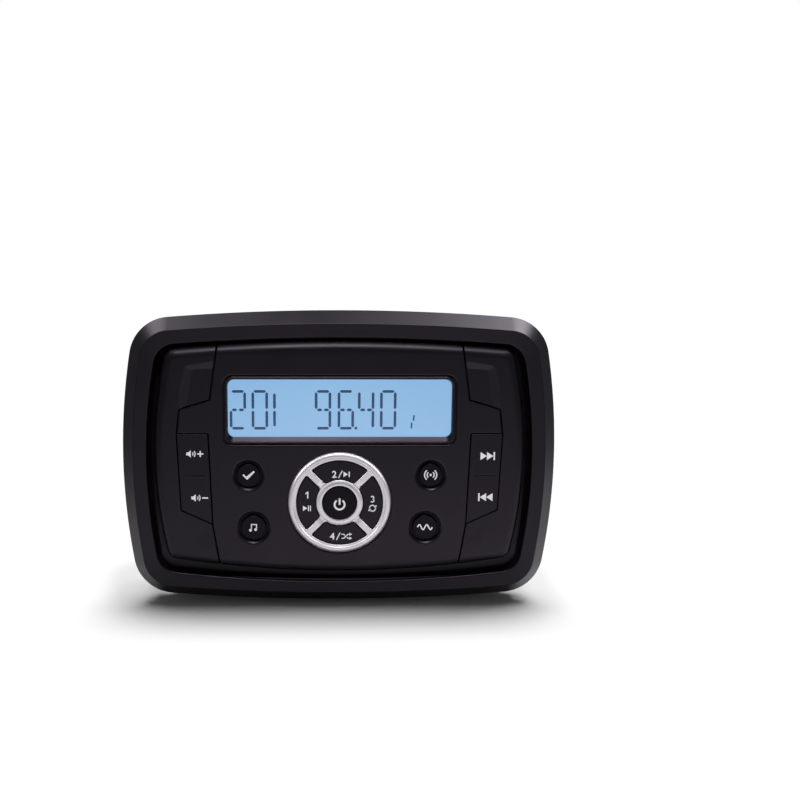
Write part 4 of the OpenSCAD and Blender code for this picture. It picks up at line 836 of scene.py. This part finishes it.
keyTop = 8.7
sweep = [stroke(arc(0, 0, reach, start, start + 100, 10), 0.5) for reach in (1.5, 2.6)
    for start in (-50, 130)]
ripple = [(-3.2 + 6.4 * i / 28, 1.1 * math.sin(math.radians(720 * i / 28))) for i in range(29)]
tick = stroke([(-2.3, 0.2), (-0.7, -1.4), (2.5, 1.6)], 0.7)
addMark("selectMark", "select_key", keyTop, centre("select_key"), [tick])
addMark("modeMark", "mode_key", keyTop, centre("mode_key"), note)
addMark("scanMark", "scan_key", keyTop, centre("scan_key"), [disc(0, 0, 0.5)] + sweep)
addMark("bandMark", "band_key", keyTop, centre("band_key"), [stroke(ripple, 0.55)])

ringTop = 9.5
play = [(-1.7, 1.2), (-1.7, -1.2), (0.2, 0)]
pause = [bar(0.45, -1.2, 0.9, 1.2), bar(1.3, -1.2, 1.75, 1.2)]
slash = stroke([(-0.8, -1.6), (0.8, 1.6)], 0.45)
one = [(0.1, -1.5), (0.65, -1.5), (0.65, 1.5), (0.2, 1.5), (-0.65, 0.85), (-0.65, 0.3), (0.1, 0.8)]
three = [stroke(arc(-0.1, 0.6, 0.62, 150, -90, 14), 0.5), stroke(arc(-0.1, -0.6, 0.66, 90, -150, 14), 0.5)]
loopMark = [stroke(arc(0, 0, 1.3, 40, 200, 10), 0.45), stroke(arc(0, 0, 1.3, 220, 380, 10), 0.45),
    [(0.3, 1.0), (1.9, 1.3), (1.3, -0.1)], [(-0.3, -1.0), (-1.9, -1.3), (-1.3, 0.1)]]
cross = [stroke([(-2.2, -0.9), (-1.3, -0.9), (0.6, 0.9), (1.2, 0.9)], 0.42),
    stroke([(-2.2, 0.9), (-1.3, 0.9), (-0.75, 0.38)], 0.42),
    stroke([(0.05, -0.38), (0.6, -0.9), (1.2, -0.9)], 0.42),
    [(1.2, 1.6), (1.2, 0.2), (2.3, 0.9)], [(1.2, -0.2), (1.2, -1.6), (2.3, -0.9)]]
powerMark = [stroke(arc(0, 0, 2.15, 125, 415, 26), 0.8), bar(-0.4, -0.1, 0.4, 2.75)]
playPause = [play] + pause
playBar = [play, bar(0.5, -1.2, 1.0, 1.2)]
addMark("presetOneMark", "preset_key_1", ringTop, (-14.0, -17.4),
    moved(playPause, 0, -2.9) + moved([one], 0, 2.9))
addMark("presetTwoMark", "preset_key_2", ringTop, (0.3, -5.4), [slash] + moved(playBar, 3.0),
    [("2", -2.6, 0)])
addMark("presetThreeMark", "preset_key_3", ringTop, (14.1, -18.3),
    moved(loopMark, 0, -2.0) + moved(three, 0, 2.0))
addMark("presetFourMark", "preset_key_4", ringTop, (0.5, -32.7), moved([slash], -1) + moved(cross, 2.6),
    [("4", -3.6, 0)])
addMark("powerKeyMark", "power_key", ringTop, (0, ringMiddle[1] - 0.8), powerMark)
print("key marks ready")

# display: thin bars with pointed ends, two short ones across the middle
digitSizes = {"width": 7, "height": 17, "stroke": 1.15, "gap": 0.3, "z": 21.8, "low": 5.21, "high": 5.25}
segmentsOf = {"0": "abcdef", "2": "abgjed", "4": "fgjbc", "6": "afedcgj", "9": "abcdfgj"}


def segment(x1, z1, x2, z2, width=digitSizes["stroke"]):
    a, b = Vector((x1, z1)), Vector((x2, z2))
    along = (b - a).normalized()
    across = Vector((-along.y, along.x)) * width / 2
    tip = along * width / 2
    return [tuple(p) for p in (a, a + tip + across, b - tip + across, b, b - tip - across, a + tip - across)]


def figure(text, x):
    w, h = [(digitSizes[key] - digitSizes["stroke"]) / 2 for key in ("width", "height")]
    gap = digitSizes["gap"]
    places = {"a": (-w + gap, h, w - gap, h), "b": (w, h - gap, w, gap), "c": (w, -gap, w, -h + gap),
        "d": (-w + gap, -h, w - gap, -h), "e": (-w, -gap, -w, -h + gap), "f": (-w, h - gap, -w, gap),
        "g": (-w + gap, 0, -gap, 0), "j": (gap, 0, w - gap, 0)}
    return [[(x + px, digitSizes["z"] + pz) for px, pz in segment(*places[k])] for k in segmentsOf[text]]


rowMiddle = digitSizes["z"]
base = rowMiddle - digitSizes["height"] / 2
shapes = []
for text, x in (("9", -7.1), ("6", 2.6), ("4", 11.2), ("0", 20.6), ("2", -43.2), ("0", -33.9)):
    shapes += figure(text, x)
shapes += [segment(-27.7, rowMiddle + side * 0.3, -27.7, rowMiddle + side * 7.2) for side in (-1, 1)]
shapes.append(disc(6.9, base + 0.6, 0.62))
shapes += [segment(30.6, base + 0.3, 30.6, base + 3.1, 0.7), segment(31.4, base + 3.6, 31.7, base + 6.4, 0.7)]
bars = [prism("displayFigures", shape, digitSizes["low"], digitSizes["high"]) for shape in shapes]
dress(joined("displayFigures", bars), "housing", "display_glass", finish=segmentInk)
print("display ready")

# body and rear: finer copies with rounded edges, widths in mm
edgeRounds = {"rear_housing": 0.4, "heat_sink": 0.25, "harness_socket": 0.15, "clamp_bracket": 0.3,
    "wing_nut_left": 0.5, "wing_nut_right": 0.5, "bracket_pads": 0.3, "stud_washers": 0.12,
    "heat_sink_screws": 0.12, "dash_gasket": 0.25, "antenna_socket": 0.15, "rca_sockets": 0.15}
bodyNames = {body.name: name for name, body in frame["bodies"].items()}
slotOf = {part["node"]: part["material_slot"] for part in frame["record"]["subparts"]}
for node, width in edgeRounds.items():
    piece = soften(fineCopy(node + "Fine", node), width, 30, 2)
    dress(piece, bodyNames[frame["nodes"][node].parent.name], slotOf[node], node)

# M5 studs: rings at the thread's pitch, a hexagonal head inside the body
studSizes = {"x": 60, "radius": 2.5, "root": 2.12, "pitch": 0.8, "start": 41, "end": 85.4, "tip": 86,
    "tipIn": 0.2, "headStart": 39, "headEnd": 42, "head": 5}
root, pitch = studSizes["root"], studSizes["pitch"]
turns = int((studSizes["end"] - studSizes["start"]) / pitch)
profile = [(0, -studSizes["start"]), (root, -studSizes["start"])]
for i in range(turns):
    y = studSizes["start"] + i * pitch
    profile += [(studSizes["radius"], -y - pitch * 0.4), (studSizes["radius"], -y - pitch * 0.55),
        (root, -y - pitch)]
profile += [(root - studSizes["tipIn"], -studSizes["tip"]), (0, -studSizes["tip"])]
studs = []
for side in (1, -1):
    middle = (studSizes["x"] * side, 0)
    head = arc(*middle, studSizes["head"], 0, 300, 5)
    studs += [shade(turned("stud", middle, profile, 28)),
        prism("stud", head, -studSizes["headEnd"], -studSizes["headStart"])]
studBody = bodyNames[frame["nodes"]["mounting_studs"].parent.name]
dress(joined("mountingStudsFine", studs), studBody, "stainless_steel", "mounting_studs")
print("rear ready")
